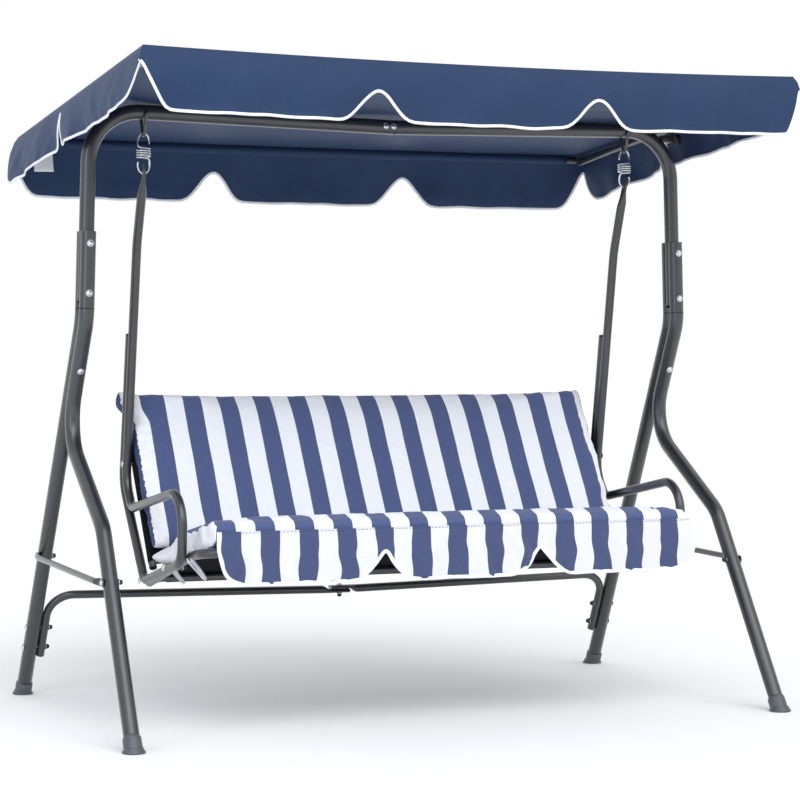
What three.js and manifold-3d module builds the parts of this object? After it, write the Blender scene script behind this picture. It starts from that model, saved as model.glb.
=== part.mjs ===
// Canopy swing bench: a bent-tube stand, a padded two-seat bench hung from its top beam on two
// springs, and a tilting fabric canopy over it. Millimetres, +Z up. The seat faces -Y, and +X is
// the viewer's right from the front. Inside the model y = 0 is the plane of the top beam; the
// whole group is then moved along Y so that the origin lies on the ground under the middle.
import * as THREE from "three";
import { mergeVertices } from "three/addons/utils/BufferGeometryUtils.js";
import Module from "manifold-3d";

const wasm = await Module();
wasm.setup();

// ---- Driving dimensions ----
const GAP = 0.3; // clearance between touching pieces

const STAND_TUBE = 18; // outer radius of beam, legs
const STAND_WALL = 1.5;
const STAND_SIDES = 12; // flats round each stand tube
const BEAM_END_Z = 1432.5; // beam height where its ends turn down
const BEAM_SAG = 16.5; // the two halves meet this much lower
const BEAM_BEND = 125;
const LEG_TOP_Z = 1147;
const LEG_TOP_X = 775.5;
const LEG_SPLAY = 0.027; // outward lean of each side frame
const LEG_APART = 17.5; // leg tops stand this far in front of and behind the beam plane
const LEG_BEND = 112;
const DOWNTUBE_END_Z = 985;
const LEG_KNEE_Z = 941; // both legs turn back here
const REAR_FOOT_Y = 507;
const FRONT_ELBOW = [121, 672]; // y, z of the front leg's bend forward
const FRONT_ANKLE = [-201, 468]; // y, z of its bend down to the foot
const FRONT_FOOT_Y = -487;
const LEG_BOLT_Z = [1118, 1002, 835];

const BRACE_Z = [350, 364]; // front and rear end of the side brace
const BRACE_TUBE = 7.25;
const CROSSBAR_TUBE = 10.3;
const CROSSBAR_Z = 262; // at the legs
const CROSSBAR_SAG = 13;
const CROSSBAR_END_Z = 104;
const CROSSBAR_BOLT_Z = [177, 126];

const HANG_X = 637; // planes of the two hangers
const HOOK_Z = 1382.5; // the seat swings about this line
const EYE_ROD = 3.6;
const SPRING_WIRE = 2.4;
const SPRING_COIL = 16;
const SPRING_TURNS = 4.5;
const SPRING_HOOK_Z = 1285.5; // the hanger hangs on this

const SEAT_TUBE = 11;
const SEAT_WALL = 1.2;
const RAIL_X = HANG_X - 2 * SEAT_TUBE - GAP; // seat rails lie against the hangers
const RAIL_REAR = [30, 318]; // y, z
const FRONT_BAR = [-405, 420];
const RAIL_SLOPE = -0.2686;
const CROSS_TUBE = [-22, 331.9]; // y, z of the tube welded between the rails
const BACK_TUBE = 9.5;
const BACK_FOOT = [2, 355];
const BACK_TOP = [230, 737];

const STRIPE_SPAN = 602; // half width of the seat pad
const BACK_SPAN = 623; // half width of the back pad
const SEAT_PAD = 60; // thickness
const SEAT_PAD_LIP = 12; // the seat pad reaches this far past the front bar
const BACK_PAD = 36;
const BACK_PAD_FROM = 48; // along the back frame
const BACK_PAD_LIP = 18;
const SLING = 2;
const SLING_SPAN = 590;
const SKIRT_TOP_Z = 466;
const SKIRT_DROP = 116;
const SKIRT_NOTCH = 64;
const SKIRT_CLOTH = 3;

const CANOPY_X = 800; // half width at the roof edge
const CANOPY_FRONT = [-548, 1518]; // y, z of the roof's front edge
const CANOPY_REAR = [562, 1410];
const CANOPY_CLOTH = 3;
const VALANCE = 136;
const VALANCE_NOTCH = 70;
const CORNER_NOTCH = 34;
const FRONT_FLARE = 0.1; // how far each valance leans out per unit of drop
const REAR_FLARE = 0.28;
const SIDE_FLARE = 0.06;
const CANOPY_TUBE = 9.5;
const CANOPY_TUBE_X = 783;
const TILT_AXIS_Z = 1412;

// ---- Materials ----
const paint = (color, roughness, metalness) =>
  new THREE.MeshStandardMaterial({ color, roughness, metalness });
const charcoal = paint(0x4a4b4a, 0.4, 0.5);
const zinc = paint(0xc4c8cc, 0.3, 0.9);
const blackPlastic = paint(0x1c1c1e, 0.6, 0);
const greyPlastic = paint(0x4b5258, 0.5, 0);
const navyCloth = paint(0x31466f, 0.7, 0);
const stripedCloth = paint(0x7f93c4, 0.8, 0);
const sling = paint(0x17171a, 0.9, 0);

// ---- Geometry helpers ----
const vec = (x, y, z) => new THREE.Vector3(x, y, z);

// A bent centre line: corners of a polyline, each rounded by an arc. Each corner is a point with
// its bend radius in .radius (0 keeps a plain station). Sweeps step once along each straight.
class BentLine extends THREE.Curve {
  constructor(corners, stepDegrees = 14) {
    super();
    this.stations = [];
    corners.forEach((corner, i) => {
      const before = corners[i - 1];
      const after = corners[i + 1];
      const dirIn = before && corner.clone().sub(before).normalize();
      const dirOut = after && after.clone().sub(corner).normalize();
      if (!before || !after || !corner.radius) {
        const tangent = dirIn && dirOut ? dirIn.clone().add(dirOut).normalize() : dirIn || dirOut;
        this.stations.push([corner.clone(), tangent.clone()]);
        return;
      }
      const angle = dirIn.angleTo(dirOut);
      const back = corner.radius * Math.tan(angle / 2);
      const start = corner.clone().addScaledVector(dirIn, -back);
      const side = dirOut.clone().addScaledVector(dirIn, -Math.cos(angle)).normalize();
      const step = corner.step || stepDegrees;
      const steps = Math.max(1, Math.round(THREE.MathUtils.radToDeg(angle) / step));
      for (let k = 0; k <= steps; k++) {
        const a = (angle * k) / steps;
        const at = start.clone().addScaledVector(dirIn, corner.radius * Math.sin(a));
        at.addScaledVector(side, corner.radius * (1 - Math.cos(a)));
        const tangent = dirIn.clone().multiplyScalar(Math.cos(a)).addScaledVector(side, Math.sin(a));
        this.stations.push([at, tangent]);
      }
    });
  }
  get steps() {
    return this.stations.length - 1;
  }
  getPointAt(t) {
    return this.stations[Math.round(t * this.steps)][0].clone();
  }
  getPoint(t) {
    return this.getPointAt(t);
  }
  getTangentAt(t) {
    return this.stations[Math.round(t * this.steps)][1].clone();
  }
}

const corner = (x, y, z, radius = 0, step = 0) => Object.assign(vec(x, y, z), { radius, step });

// Only positions, shared vertices merged: what a boolean and a closed node both need.
function weld(geometry) {
  const g = geometry.clone();
  g.deleteAttribute("normal");
  g.deleteAttribute("uv");
  return mergeVertices(g, 1e-3);
}

function solid(geometry) {
  const g = weld(geometry);
  const vertProperties = g.attributes.position.array;
  const triVerts = new Uint32Array(g.index.array);
  return new wasm.Manifold(new wasm.Mesh({ numProp: 3, vertProperties, triVerts }));
}

function fromSolid(made) {
  const { vertProperties, triVerts } = made.getMesh();
  const g = new THREE.BufferGeometry();
  g.setAttribute("position", new THREE.BufferAttribute(vertProperties, 3));
  g.setIndex(new THREE.BufferAttribute(triVerts, 1));
  return g;
}

const cut = (body, tools) =>
  fromSolid(tools.reduce((left, tool) => left.subtract(solid(tool)), solid(body)));
const join = (parts) => fromSolid(parts.map(solid).reduce((a, b) => a.add(b)));

function disc(radius, hole) {
  const shape = new THREE.Shape().absarc(0, 0, radius, 0, 2 * Math.PI);
  if (hole) shape.holes.push(new THREE.Path().absarc(0, 0, hole, 0, 2 * Math.PI));
  return shape;
}

// A tube or rod of round section along a bent line. sides is even.
function sweep(line, radius, wall, sides) {
  return weld(
    new THREE.ExtrudeGeometry(disc(radius, wall && radius - wall), {
      steps: line.steps,
      extrudePath: line,
      curveSegments: sides / 2,
    }),
  );
}

// Moves each vertex of a geometry by a function of its position.
function shapeVertices(geometry, move) {
  const p = geometry.attributes.position;
  const v = vec(0, 0, 0);
  for (let i = 0; i < p.count; i++) {
    move(v.fromBufferAttribute(p, i));
    p.setXYZ(i, v.x, v.y, v.z);
  }
  return geometry;
}

// A turned piece: profile points are [radius, distance along the axis from start to end].
function turned(start, end, profile, sides) {
  const g = new THREE.LatheGeometry(
    profile.map(([r, h]) => new THREE.Vector2(r, h)),
    sides,
  );
  const along = end.clone().sub(start).normalize();
  const turn = new THREE.Quaternion().setFromUnitVectors(vec(0, 1, 0), along);
  return weld(g.applyQuaternion(turn).translate(start.x, start.y, start.z));
}

const rod = (start, end, radius, sides = 10) => {
  const length = start.distanceTo(end);
  return turned(start, end, [[0, 0], [radius, 0], [radius, length], [0, length]], sides);
};

// A flat panel: an outline in two axes, extruded along the third.
function panel(outline, thickness, xAxis, yAxis, at, curveSegments = 4) {
  const shape = outline instanceof THREE.Shape ? outline : new THREE.Shape(outline);
  const g = new THREE.ExtrudeGeometry(shape, { depth: thickness, bevelEnabled: false, curveSegments });
  const basis = new THREE.Matrix4().makeBasis(xAxis, yAxis, xAxis.clone().cross(yAxis));
  return weld(g.applyMatrix4(basis).translate(at.x, at.y, at.z));
}

function box(x0, x1, y0, y1, z0, z1) {
  const g = new THREE.BoxGeometry(x1 - x0, y1 - y0, z1 - z0);
  return g.translate((x0 + x1) / 2, (y0 + y1) / 2, (z0 + z1) / 2);
}

// ---- Named nodes ----
const model = new THREE.Group();
const mirrored = new THREE.Group();
mirrored.scale.x = -1;
model.add(mirrored);

function add(name, geometry, material, parent = model) {
  const mesh = new THREE.Mesh(geometry, material);
  mesh.name = name;
  parent.add(mesh);
}
// A piece drawn on the right side, and its mirror image on the left.
function addPair(name, geometry, material) {
  add(name + "_right", geometry, material);
  add(name + "_left", geometry, material, mirrored);
}

// ---- Fasteners ----
const BOLT = 3; // shank radius
const HOLE = BOLT + 0.35;
const HEAD = 6.5;
const NUT = 5.5;
const HEAD_HEIGHT = 4;
const NUT_HEIGHT = 10;

// A domed bolt with its cap nut. head and nut are the two clamped outer faces.
function bolt(head, nut) {
  const grip = head.distanceTo(nut);
  const profile = [
    [0, -HEAD_HEIGHT],
    [HEAD * 0.6, -HEAD_HEIGHT * 0.8],
    [HEAD, -GAP],
    [BOLT, -GAP],
    [BOLT, grip + GAP],
    [NUT, grip + GAP],
    [NUT, grip + NUT_HEIGHT * 0.6],
    [0, grip + NUT_HEIGHT],
  ];
  return turned(head, nut, profile, 8);
}
function boltHole(head, nut) {
  const out = head.clone().sub(nut).setLength(3);
  return rod(head.clone().add(out), nut.clone().sub(out), HOLE, 8);
}

// ---- Stand ----
const sideX = (z) => LEG_TOP_X + LEG_SPLAY * (LEG_TOP_Z - z);
const atSide = (y, z, radius, step) => corner(sideX(z), y, z, radius, step);
const beamZ = (x) => BEAM_END_Z - BEAM_SAG * (1 - Math.abs(x) / sideX(BEAM_END_Z));

const rearSlope = (REAR_FOOT_Y - LEG_APART) / LEG_KNEE_Z;
function legBoltEnds(z) {
  const middle = vec(sideX(z), Math.max(0, LEG_KNEE_Z - z) * rearSlope, z);
  const lean = z > LEG_KNEE_Z ? 0 : Math.atan(rearSlope);
  const through = vec(0, Math.cos(lean), Math.sin(lean));
  const half = LEG_APART * Math.cos(lean) + STAND_TUBE;
  return [-half, half].map((h) => middle.clone().addScaledVector(through, h));
}

const EYE_HALF = STAND_TUBE + 8;
const EYE_TIP = 13; // the sharp corner of the V lies this far below its rounded tip
const eyeZ = beamZ(HANG_X);

function beamHalf(withPlug) {
  const plugLength = 45;
  const inner = 0.6; // leaves a joint line between the halves
  const line = new BentLine([
    corner(inner, 0, beamZ(0)),
    atSide(0, BEAM_END_Z, BEAM_BEND),
    atSide(0, LEG_TOP_Z + 25),
    atSide(0, DOWNTUBE_END_Z),
  ], 13);
  let tube = sweep(line, STAND_TUBE, STAND_WALL, STAND_SIDES);
  if (withPlug) {
    const axisStart = vec(-plugLength, 0, beamZ(plugLength));
    const bore = STAND_TUBE - STAND_WALL;
    const profile = [
      [bore - 2, 0],
      [bore - 0.6, 0],
      [bore - 0.6, plugLength - 1],
      [STAND_TUBE - 0.4, plugLength + 1],
      [STAND_TUBE - 0.4, plugLength + 4],
      [bore - 2, plugLength + 4],
      [bore - 2, 0],
    ];
    tube = join([tube, turned(axisStart, vec(0, 0, beamZ(0)), profile, STAND_SIDES)]);
  }
  return tube;
}
const beamBoltX = [7, 27];
const beamBoltEnds = (x) => [vec(-x, -STAND_TUBE, beamZ(x)), vec(-x, STAND_TUBE, beamZ(x))];
const beamBoltHoles = beamBoltX.map((x) => boltHole(...beamBoltEnds(x)));
const eyeHole = rod(vec(HANG_X, -30, eyeZ), vec(HANG_X, 30, eyeZ), EYE_ROD + 0.8, 12);
const topLegHoles = LEG_BOLT_Z.slice(0, 2).map((z) => boltHole(...legBoltEnds(z)));

// The welded lug that carries the canopy pivot.
const LUG_X = 752;
const LUG_OUT = CANOPY_TUBE_X - CANOPY_TUBE + 1;
const lug = box(LUG_X - 12, LUG_OUT, -11, 11, TILT_AXIS_Z - 9, TILT_AXIS_Z + 9);
const pivotAt = (x) => vec(x, 0, TILT_AXIS_Z);
const pivotHole = rod(pivotAt(LUG_OUT - 26), pivotAt(LUG_OUT + 10), 4.4);
const beamRight = join([beamHalf(true), lug]);
const beamLeft = join([beamHalf(false), lug]);
const mirrorX = (g) => g.clone().applyMatrix4(new THREE.Matrix4().makeScale(-1, 1, 1));
const beamBoltHolesMirrored = beamBoltX.map((x) => boltHole(...beamBoltEnds(-x)));
add("beam_right", cut(beamRight, [...beamBoltHoles, eyeHole, pivotHole, ...topLegHoles]), charcoal);
add(
  "beam_left",
  cut(beamLeft, [...beamBoltHolesMirrored, eyeHole, pivotHole, ...topLegHoles]),
  charcoal,
  mirrored,
);
beamBoltX.forEach((x, i) => add("beam_bolt_" + (i + 1), bolt(...beamBoltEnds(x)), zinc));

// Vertices of a swept tube, told apart as outer wall or bore by their distance from the line.
function shapeTube(geometry, line, radius, wall, move) {
  return shapeVertices(geometry, (v) => {
    const nearest = Math.min(...line.stations.map(([at]) => at.distanceTo(v)));
    move(v, nearest < radius - wall / 2 ? wall : 0);
  });
}

// Leg tops are crushed to wrap the downtube. Lower down, where the two legs touch, each is pressed
// flat against the middle surface between them. facing is 1 for the front leg, -1 for the rear.
const CRUSH_END_Z = 715;
function crushLegTop(geometry, line, facing) {
  const middleSlope = (z) => (LEG_KNEE_Z - z) * rearSlope;
  const corners = [...legTopCorners(0, middleSlope), atSide(middleSlope(600), 600)];
  const middle = new BentLine(corners).stations.map(([at]) => at);
  const middleY = (z) => {
    const i = Math.max(1, middle.findIndex((at) => at.z <= z));
    const share = (z - middle[i - 1].z) / (middle[i].z - middle[i - 1].z);
    return middle[i - 1].y + (middle[i].y - middle[i - 1].y) * share;
  };
  return shapeTube(geometry, line, STAND_TUBE, STAND_WALL, (v, inner) => {
    if (v.z < CRUSH_END_Z) return;
    let limit = facing * middleY(v.z) - 2 * GAP - inner;
    if (v.z > DOWNTUBE_END_Z - 5) {
      const reach = STAND_TUBE + 4 * GAP + inner;
      limit = -Math.sqrt(Math.max(0, reach ** 2 - (v.x - sideX(v.z)) ** 2));
    }
    v.y = facing * Math.min(facing * v.y, limit);
  });
}

const frontLegY = (z) => -LEG_APART + Math.max(0, LEG_KNEE_Z - z) * rearSlope;
const rearLegY = (z) => LEG_APART + Math.max(0, LEG_KNEE_Z - z) * rearSlope;
const legTopCorners = (y, slopeY) => [
  atSide(y, LEG_TOP_Z),
  atSide(y, DOWNTUBE_END_Z),
  atSide(y, DOWNTUBE_END_Z - 12),
  atSide(y, LEG_KNEE_Z, LEG_BEND, 7),
  atSide(slopeY(835), 835),
  atSide(slopeY(725), 725),
];
const frontLegLine = new BentLine([
  ...legTopCorners(-LEG_APART, frontLegY).slice(0, -1),
  atSide(...FRONT_ELBOW, LEG_BEND),
  atSide(...FRONT_ANKLE, LEG_BEND),
  atSide(FRONT_FOOT_Y + 4, 6),
], 15);
const rearLegLine = new BentLine([
  ...legTopCorners(LEG_APART, rearLegY),
  atSide(rearLegY(680), 680),
  atSide(REAR_FOOT_Y - 3, 6),
]);

const FOOT_FLOOR = 4; // thickness of the cap under the tube
const CAP_SIDES = 16;
const FOOT_COLLAR = STAND_TUBE + 2.6; // outer radius
const FOOT_COLLAR_TOP = 38;
const FOOT_PROFILE = [[0, 0], [26, 0], [26, 4], [22, 10], [0, 10]];
const under = (z) => box(600, 1000, -700, 700, -80, z);
const BRACE_Y = [-274, rearLegY(BRACE_Z[1])];
const BRACE_IN = STAND_TUBE + GAP;
const braceBoltEnds = [0, 1].map((i) => [
  vec(sideX(BRACE_Z[i]) + BRACE_IN + 3, BRACE_Y[i], BRACE_Z[i]),
  vec(sideX(BRACE_Z[i]) - STAND_TUBE, BRACE_Y[i], BRACE_Z[i]),
]);
const crossbarX = (z) => sideX(z) - STAND_TUBE - CROSSBAR_TUBE - GAP;
const crossbarBoltEnds = CROSSBAR_BOLT_Z.map((z) => [
  vec(sideX(z) + STAND_TUBE, rearLegY(z), z),
  vec(crossbarX(z) - CROSSBAR_TUBE, rearLegY(z), z),
]);

const legBoltHoles = LEG_BOLT_Z.map((z) => boltHole(...legBoltEnds(z)));
function leg(line, facing, holes) {
  const tube = sweep(line, STAND_TUBE, STAND_WALL, STAND_SIDES);
  const tools = [under(FOOT_FLOOR + GAP), ...legBoltHoles, ...holes];
  return cut(crushLegTop(tube, line, facing), tools);
}
addPair("front_leg", leg(frontLegLine, 1, [boltHole(...braceBoltEnds[0])]), charcoal);
const rearHoles = [braceBoltEnds[1], ...crossbarBoltEnds].map((ends) => boltHole(...ends));
addPair("rear_leg", leg(rearLegLine, -1, rearHoles), charcoal);
LEG_BOLT_Z.forEach((z, i) => addPair("leg_bolt_" + (i + 1), bolt(...legBoltEnds(z)), zinc));

// Foot cap: a collar in line with the leg on a flat flared base.
function footCap(footY, towardY, towardZ) {
  const up = vec(sideX(towardZ) - sideX(0), towardY - footY, towardZ).normalize();
  const foot = vec(sideX(0), footY, 0);
  const below = foot.clone().addScaledVector(up, -20);
  const top = foot.clone().addScaledVector(up, FOOT_COLLAR_TOP);
  const pastTop = top.clone().addScaledVector(up, 5);
  const collar = rod(below, top, FOOT_COLLAR, CAP_SIDES);
  const base = turned(foot, vec(foot.x, foot.y, 1), FOOT_PROFILE, CAP_SIDES);
  const bore = cut(rod(below, pastTop, STAND_TUBE + 2 * GAP, CAP_SIDES), [under(FOOT_FLOOR)]);
  return cut(join([collar, base]), [under(0), bore]);
}
addPair("front_foot_cap", footCap(FRONT_FOOT_Y, ...FRONT_ANKLE), greyPlastic);
addPair("rear_foot_cap", footCap(REAR_FOOT_Y, LEG_APART, LEG_KNEE_Z), greyPlastic);

// Side brace: a thin tube with its two ends pressed flat against the legs.
const BRACE_REACH = 16;
function sideBrace() {
  const offset = BRACE_IN + BRACE_TUBE;
  const ends = [0, 1].map((i) => vec(sideX(BRACE_Z[i]) + offset, BRACE_Y[i], BRACE_Z[i]));
  const along = ends[1].clone().sub(ends[0]).normalize();
  const stop = (i, reach) => {
    const p = ends[i].clone().addScaledVector(along, reach);
    return corner(p.x, p.y, p.z);
  };
  const line = new BentLine([
    stop(0, -10),
    stop(0, BRACE_REACH),
    stop(0, 2 * BRACE_REACH),
    stop(1, -2 * BRACE_REACH),
    stop(1, -BRACE_REACH),
    stop(1, 10),
  ]);
  const tube = sweep(line, BRACE_TUBE, 1.1, 10);
  const flat = shapeVertices(tube, (v) => {
    const t = v.clone().sub(ends[0]).dot(along);
    const length = ends[0].distanceTo(ends[1]);
    if (t > BRACE_REACH + 2 && t < length - BRACE_REACH - 2) return;
    const legSide = sideX(v.z) + BRACE_IN;
    v.x = legSide + (v.x - legSide) * 0.2;
  });
  return cut(flat, braceBoltEnds.map((e) => boltHole(...e)));
}
addPair("side_brace", sideBrace(), charcoal);
["front", "rear"].forEach((end, i) => addPair(`brace_bolt_${end}`, bolt(...braceBoltEnds[i]), zinc));

// Lower crossbar: two halves bolted together flat at the middle, ends turned down along the legs.
const crossbarY = rearLegY(CROSSBAR_Z);
const LAP = 26;
const LAP_PRESS = 0.5; // share of its height that each flattened end keeps
function crossbarHalf(above) {
  const middleZ = CROSSBAR_Z - CROSSBAR_SAG;
  const line = new BentLine([
    corner(-LAP, crossbarY, middleZ),
    corner(LAP, crossbarY, middleZ),
    corner(LAP + 18, crossbarY, middleZ + 0.6),
    corner(crossbarX(CROSSBAR_Z), crossbarY, CROSSBAR_Z, 62),
    corner(crossbarX(CROSSBAR_END_Z), rearLegY(CROSSBAR_END_Z), CROSSBAR_END_Z),
  ]);
  const tube = sweep(line, CROSSBAR_TUBE, SEAT_WALL, 10);
  return shapeVertices(tube, (v) => {
    if (v.x > LAP + 5) return;
    const z = (v.z - middleZ) * LAP_PRESS;
    v.z = middleZ + z + above * (CROSSBAR_TUBE * LAP_PRESS + GAP / 2);
  });
}
const lapHead = vec(0, crossbarY, CROSSBAR_Z - CROSSBAR_SAG + 2 * CROSSBAR_TUBE * LAP_PRESS + GAP);
const lapNut = vec(0, crossbarY, CROSSBAR_Z - CROSSBAR_SAG - 2 * CROSSBAR_TUBE * LAP_PRESS - GAP);
const crossbarHoles = [...crossbarBoltEnds, [lapHead, lapNut]].map((ends) => boltHole(...ends));
add("crossbar_right", cut(crossbarHalf(1), crossbarHoles), charcoal);
add("crossbar_left", cut(crossbarHalf(-1), crossbarHoles), charcoal, mirrored);
add("crossbar_middle_bolt", bolt(lapHead, lapNut), zinc);
["upper", "lower"].forEach((place, i) =>
  addPair("crossbar_bolt_" + place, bolt(...crossbarBoltEnds[i]), zinc),
);

// ---- Suspension ----
const EYE_LOW_Z = HOOK_Z - EYE_ROD - SPRING_WIRE - GAP;
const eyeLine = new BentLine([
  corner(HANG_X, -STAND_TUBE + 6, eyeZ),
  corner(HANG_X, -EYE_HALF, eyeZ, 5),
  corner(HANG_X, 0, EYE_LOW_Z - EYE_TIP, 7),
  corner(HANG_X, EYE_HALF, eyeZ, 5),
  corner(HANG_X, STAND_TUBE - 6, eyeZ),
], 30);
addPair("beam_eye", sweep(eyeLine, EYE_ROD, 0, 8), charcoal);

// Extension spring: a close coil between two open hooks, all of one wire.
function springLine() {
  const points = [];
  const middle = (HOOK_Z + SPRING_HOOK_Z) / 2;
  const coilHalf = 14;
  const hookHigh = HOOK_Z - middle - coilHalf;
  const hookWide = SPRING_COIL - 1.5;
  const hook = (side, from, to, steps) => {
    for (let k = 0; k <= steps; k++) {
      const a = THREE.MathUtils.degToRad(from + ((to - from) * k) / steps);
      const z = coilHalf + hookHigh * (0.42 + 0.58 * Math.sin(a));
      points.push(vec(HANG_X + side * hookWide * Math.cos(a), 0, middle + side * z));
    }
  };
  hook(1, 190, 0, 7);
  const coilSteps = Math.round(SPRING_TURNS * 9);
  for (let k = 1; k < coilSteps; k++) {
    const a = (k / coilSteps) * SPRING_TURNS * 2 * Math.PI;
    const z = middle + coilHalf * (1 - (2 * k) / coilSteps);
    points.push(vec(HANG_X + SPRING_COIL * Math.cos(a), -SPRING_COIL * Math.sin(a), z));
  }
  hook(-1, 0, 190, 7);
  return new THREE.CatmullRomCurve3(points);
}
const springCurve = springLine();
const spring = new THREE.ExtrudeGeometry(disc(SPRING_WIRE), {
  steps: 56,
  extrudePath: springCurve,
  curveSegments: 3,
});
addPair("spring", weld(spring), zinc);

// ---- Swinging seat ----
const atHanger = (y, z, radius) => corner(HANG_X, y, z, radius);
const HANGER_TOP_Z = 1304;
const HANGER_FLAT_Z = 1245; // pressed flat above this
const hangerLine = new BentLine([
  atHanger(-6, HANGER_TOP_Z),
  atHanger(2, SPRING_HOOK_Z - 10),
  atHanger(14, SPRING_HOOK_Z - 40),
  atHanger(56, 1123, 200),
  atHanger(152, 553, 90), // bend down to the armrest
  atHanger(101.5, 489.8, 35), // rear of the armrest
  atHanger(-302, 556.4, 72), // front of the armrest
  atHanger(-296, 392, 50), // foot of the armrest
  atHanger(-2, 324, 38), // lowest corner, then up behind the hanger
  atHanger(175.6, 546.5, 90),
  atHanger(115.5, 905),
], 22);
function hangerLoop() {
  const tube = sweep(hangerLine, SEAT_TUBE, SEAT_WALL, 10);
  return shapeVertices(tube, (v) => {
    const share = THREE.MathUtils.clamp((v.z - HANGER_FLAT_Z) / 25, 0, 1);
    v.x = HANG_X + (v.x - HANG_X) * (1 - 0.72 * share);
  });
}
const hookAt = (x) => vec(HANG_X + x, 0, SPRING_HOOK_Z);
const hookHole = rod(hookAt(-20), hookAt(20), 4.6, 12);

const railZ = (y) => RAIL_REAR[1] + RAIL_SLOPE * (y - RAIL_REAR[0]);
const seatBoltAt = [
  [4, railZ(4)],
  [-190, 371],
  [145, 595],
];
const seatBoltEnds = seatBoltAt.map(([y, z], i) => [
  vec(HANG_X + SEAT_TUBE, y, z),
  vec(RAIL_X - (i === 2 ? BACK_TUBE : SEAT_TUBE), y, z),
]);
const seatHoles = seatBoltEnds.map((ends) => boltHole(...ends));
addPair("hanger_loop", cut(hangerLoop(), [hookHole, ...seatHoles]), charcoal);

// Seat frame: a U of rails and front bar, with a cross tube welded between the rails at the rear.
function seatFrame() {
  const side = (sign) => [
    corner(sign * RAIL_X, RAIL_REAR[0], RAIL_REAR[1]),
    corner(sign * RAIL_X, -300, railZ(-300), 150),
    corner(sign * RAIL_X, FRONT_BAR[0], FRONT_BAR[1], 48),
  ];
  const line = new BentLine([...side(-1), ...side(1).reverse()], 18);
  const u = sweep(line, SEAT_TUBE, SEAT_WALL, 10);
  const reach = RAIL_X - SEAT_TUBE + 1;
  const across = new BentLine([corner(-reach, ...CROSS_TUBE), corner(reach, ...CROSS_TUBE)]);
  return join([u, sweep(across, BACK_TUBE, SEAT_WALL, 10)]);
}
const bothSides = (tools) => [...tools, ...tools.map(mirrorTool)];
function mirrorTool(g) {
  const m = mirrorX(g);
  const index = m.index.array;
  for (let i = 0; i < index.length; i += 3) [index[i], index[i + 1]] = [index[i + 1], index[i]];
  return m;
}
add("seat_frame", cut(seatFrame(), bothSides(seatHoles.slice(0, 2))), charcoal);

// Back frame: an inverted U that leans back between the hangers, its feet above the rails.
const backDir = vec(0, BACK_TOP[0] - BACK_FOOT[0], BACK_TOP[1] - BACK_FOOT[1]).normalize();
function backFrame() {
  const line = new BentLine([
    corner(-RAIL_X, ...BACK_FOOT),
    corner(-RAIL_X, ...BACK_TOP, 45),
    corner(RAIL_X, ...BACK_TOP, 45),
    corner(RAIL_X, ...BACK_FOOT),
  ], 18);
  return sweep(line, BACK_TUBE, SEAT_WALL, 10);
}
add("back_frame", cut(backFrame(), bothSides([seatHoles[2]])), charcoal);
["rear", "front", "back"].forEach((place, i) =>
  addPair("seat_bolt_" + place, bolt(...seatBoltEnds[i]), zinc),
);

// A slab that lies along a direction in the YZ plane, centred on x = 0. It starts and ends at
// distances along that direction, and its far end is rounded.
function slab(start, dir, from, to, lift, thickness, halfWidth, rounding = 0) {
  const normal = vec(0, dir.z, -dir.y);
  if (normal.z < 0) normal.negate();
  const top = lift + thickness;
  const shape = new THREE.Shape();
  shape.moveTo(from, lift);
  if (rounding) {
    shape.lineTo(to - rounding, lift);
    shape.quadraticCurveTo(to, lift, to, lift + rounding);
    shape.lineTo(to, top - rounding);
    shape.quadraticCurveTo(to, top, to - rounding, top);
  } else {
    shape.lineTo(to, lift);
    shape.lineTo(to, top);
  }
  shape.lineTo(from, top);
  shape.closePath();
  const place = vec(0, ...start).addScaledVector(dir.clone().cross(normal), -halfWidth);
  return panel(shape, 2 * halfWidth, dir, normal, place, 3);
}
const seatRun = vec(0, ...FRONT_BAR).sub(vec(0, ...CROSS_TUBE));
const seatLength = seatRun.length();
const seatDir = seatRun.normalize();
const backLength = vec(0, ...BACK_TOP).distanceTo(vec(0, ...BACK_FOOT));
const seatLift = SEAT_TUBE + 2 * GAP;
const backLift = BACK_TUBE + GAP;
const onSeat = (...shape) => slab(CROSS_TUBE, seatDir, ...shape);
const onBack = (...shape) => slab(BACK_FOOT, backDir, ...shape);
add("seat_sling", onSeat(0, seatLength, seatLift, SLING, SLING_SPAN), sling);
add("back_sling", onBack(0, backLength, backLift, SLING, SLING_SPAN), sling);

// Pads, each over its sling.
const overSling = SLING + GAP;
const ROUNDING = 0.4; // of the thickness
const seatPadSection = [8, seatLength + SEAT_PAD_LIP, seatLift + overSling, SEAT_PAD];
const backPadSection = [BACK_PAD_FROM, backLength + BACK_PAD_LIP, backLift + overSling, BACK_PAD];
add("seat_pad", onSeat(...seatPadSection, STRIPE_SPAN, SEAT_PAD * ROUNDING), stripedCloth);
add("back_pad", onBack(...backPadSection, BACK_SPAN, BACK_PAD * ROUNDING), stripedCloth);

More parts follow.
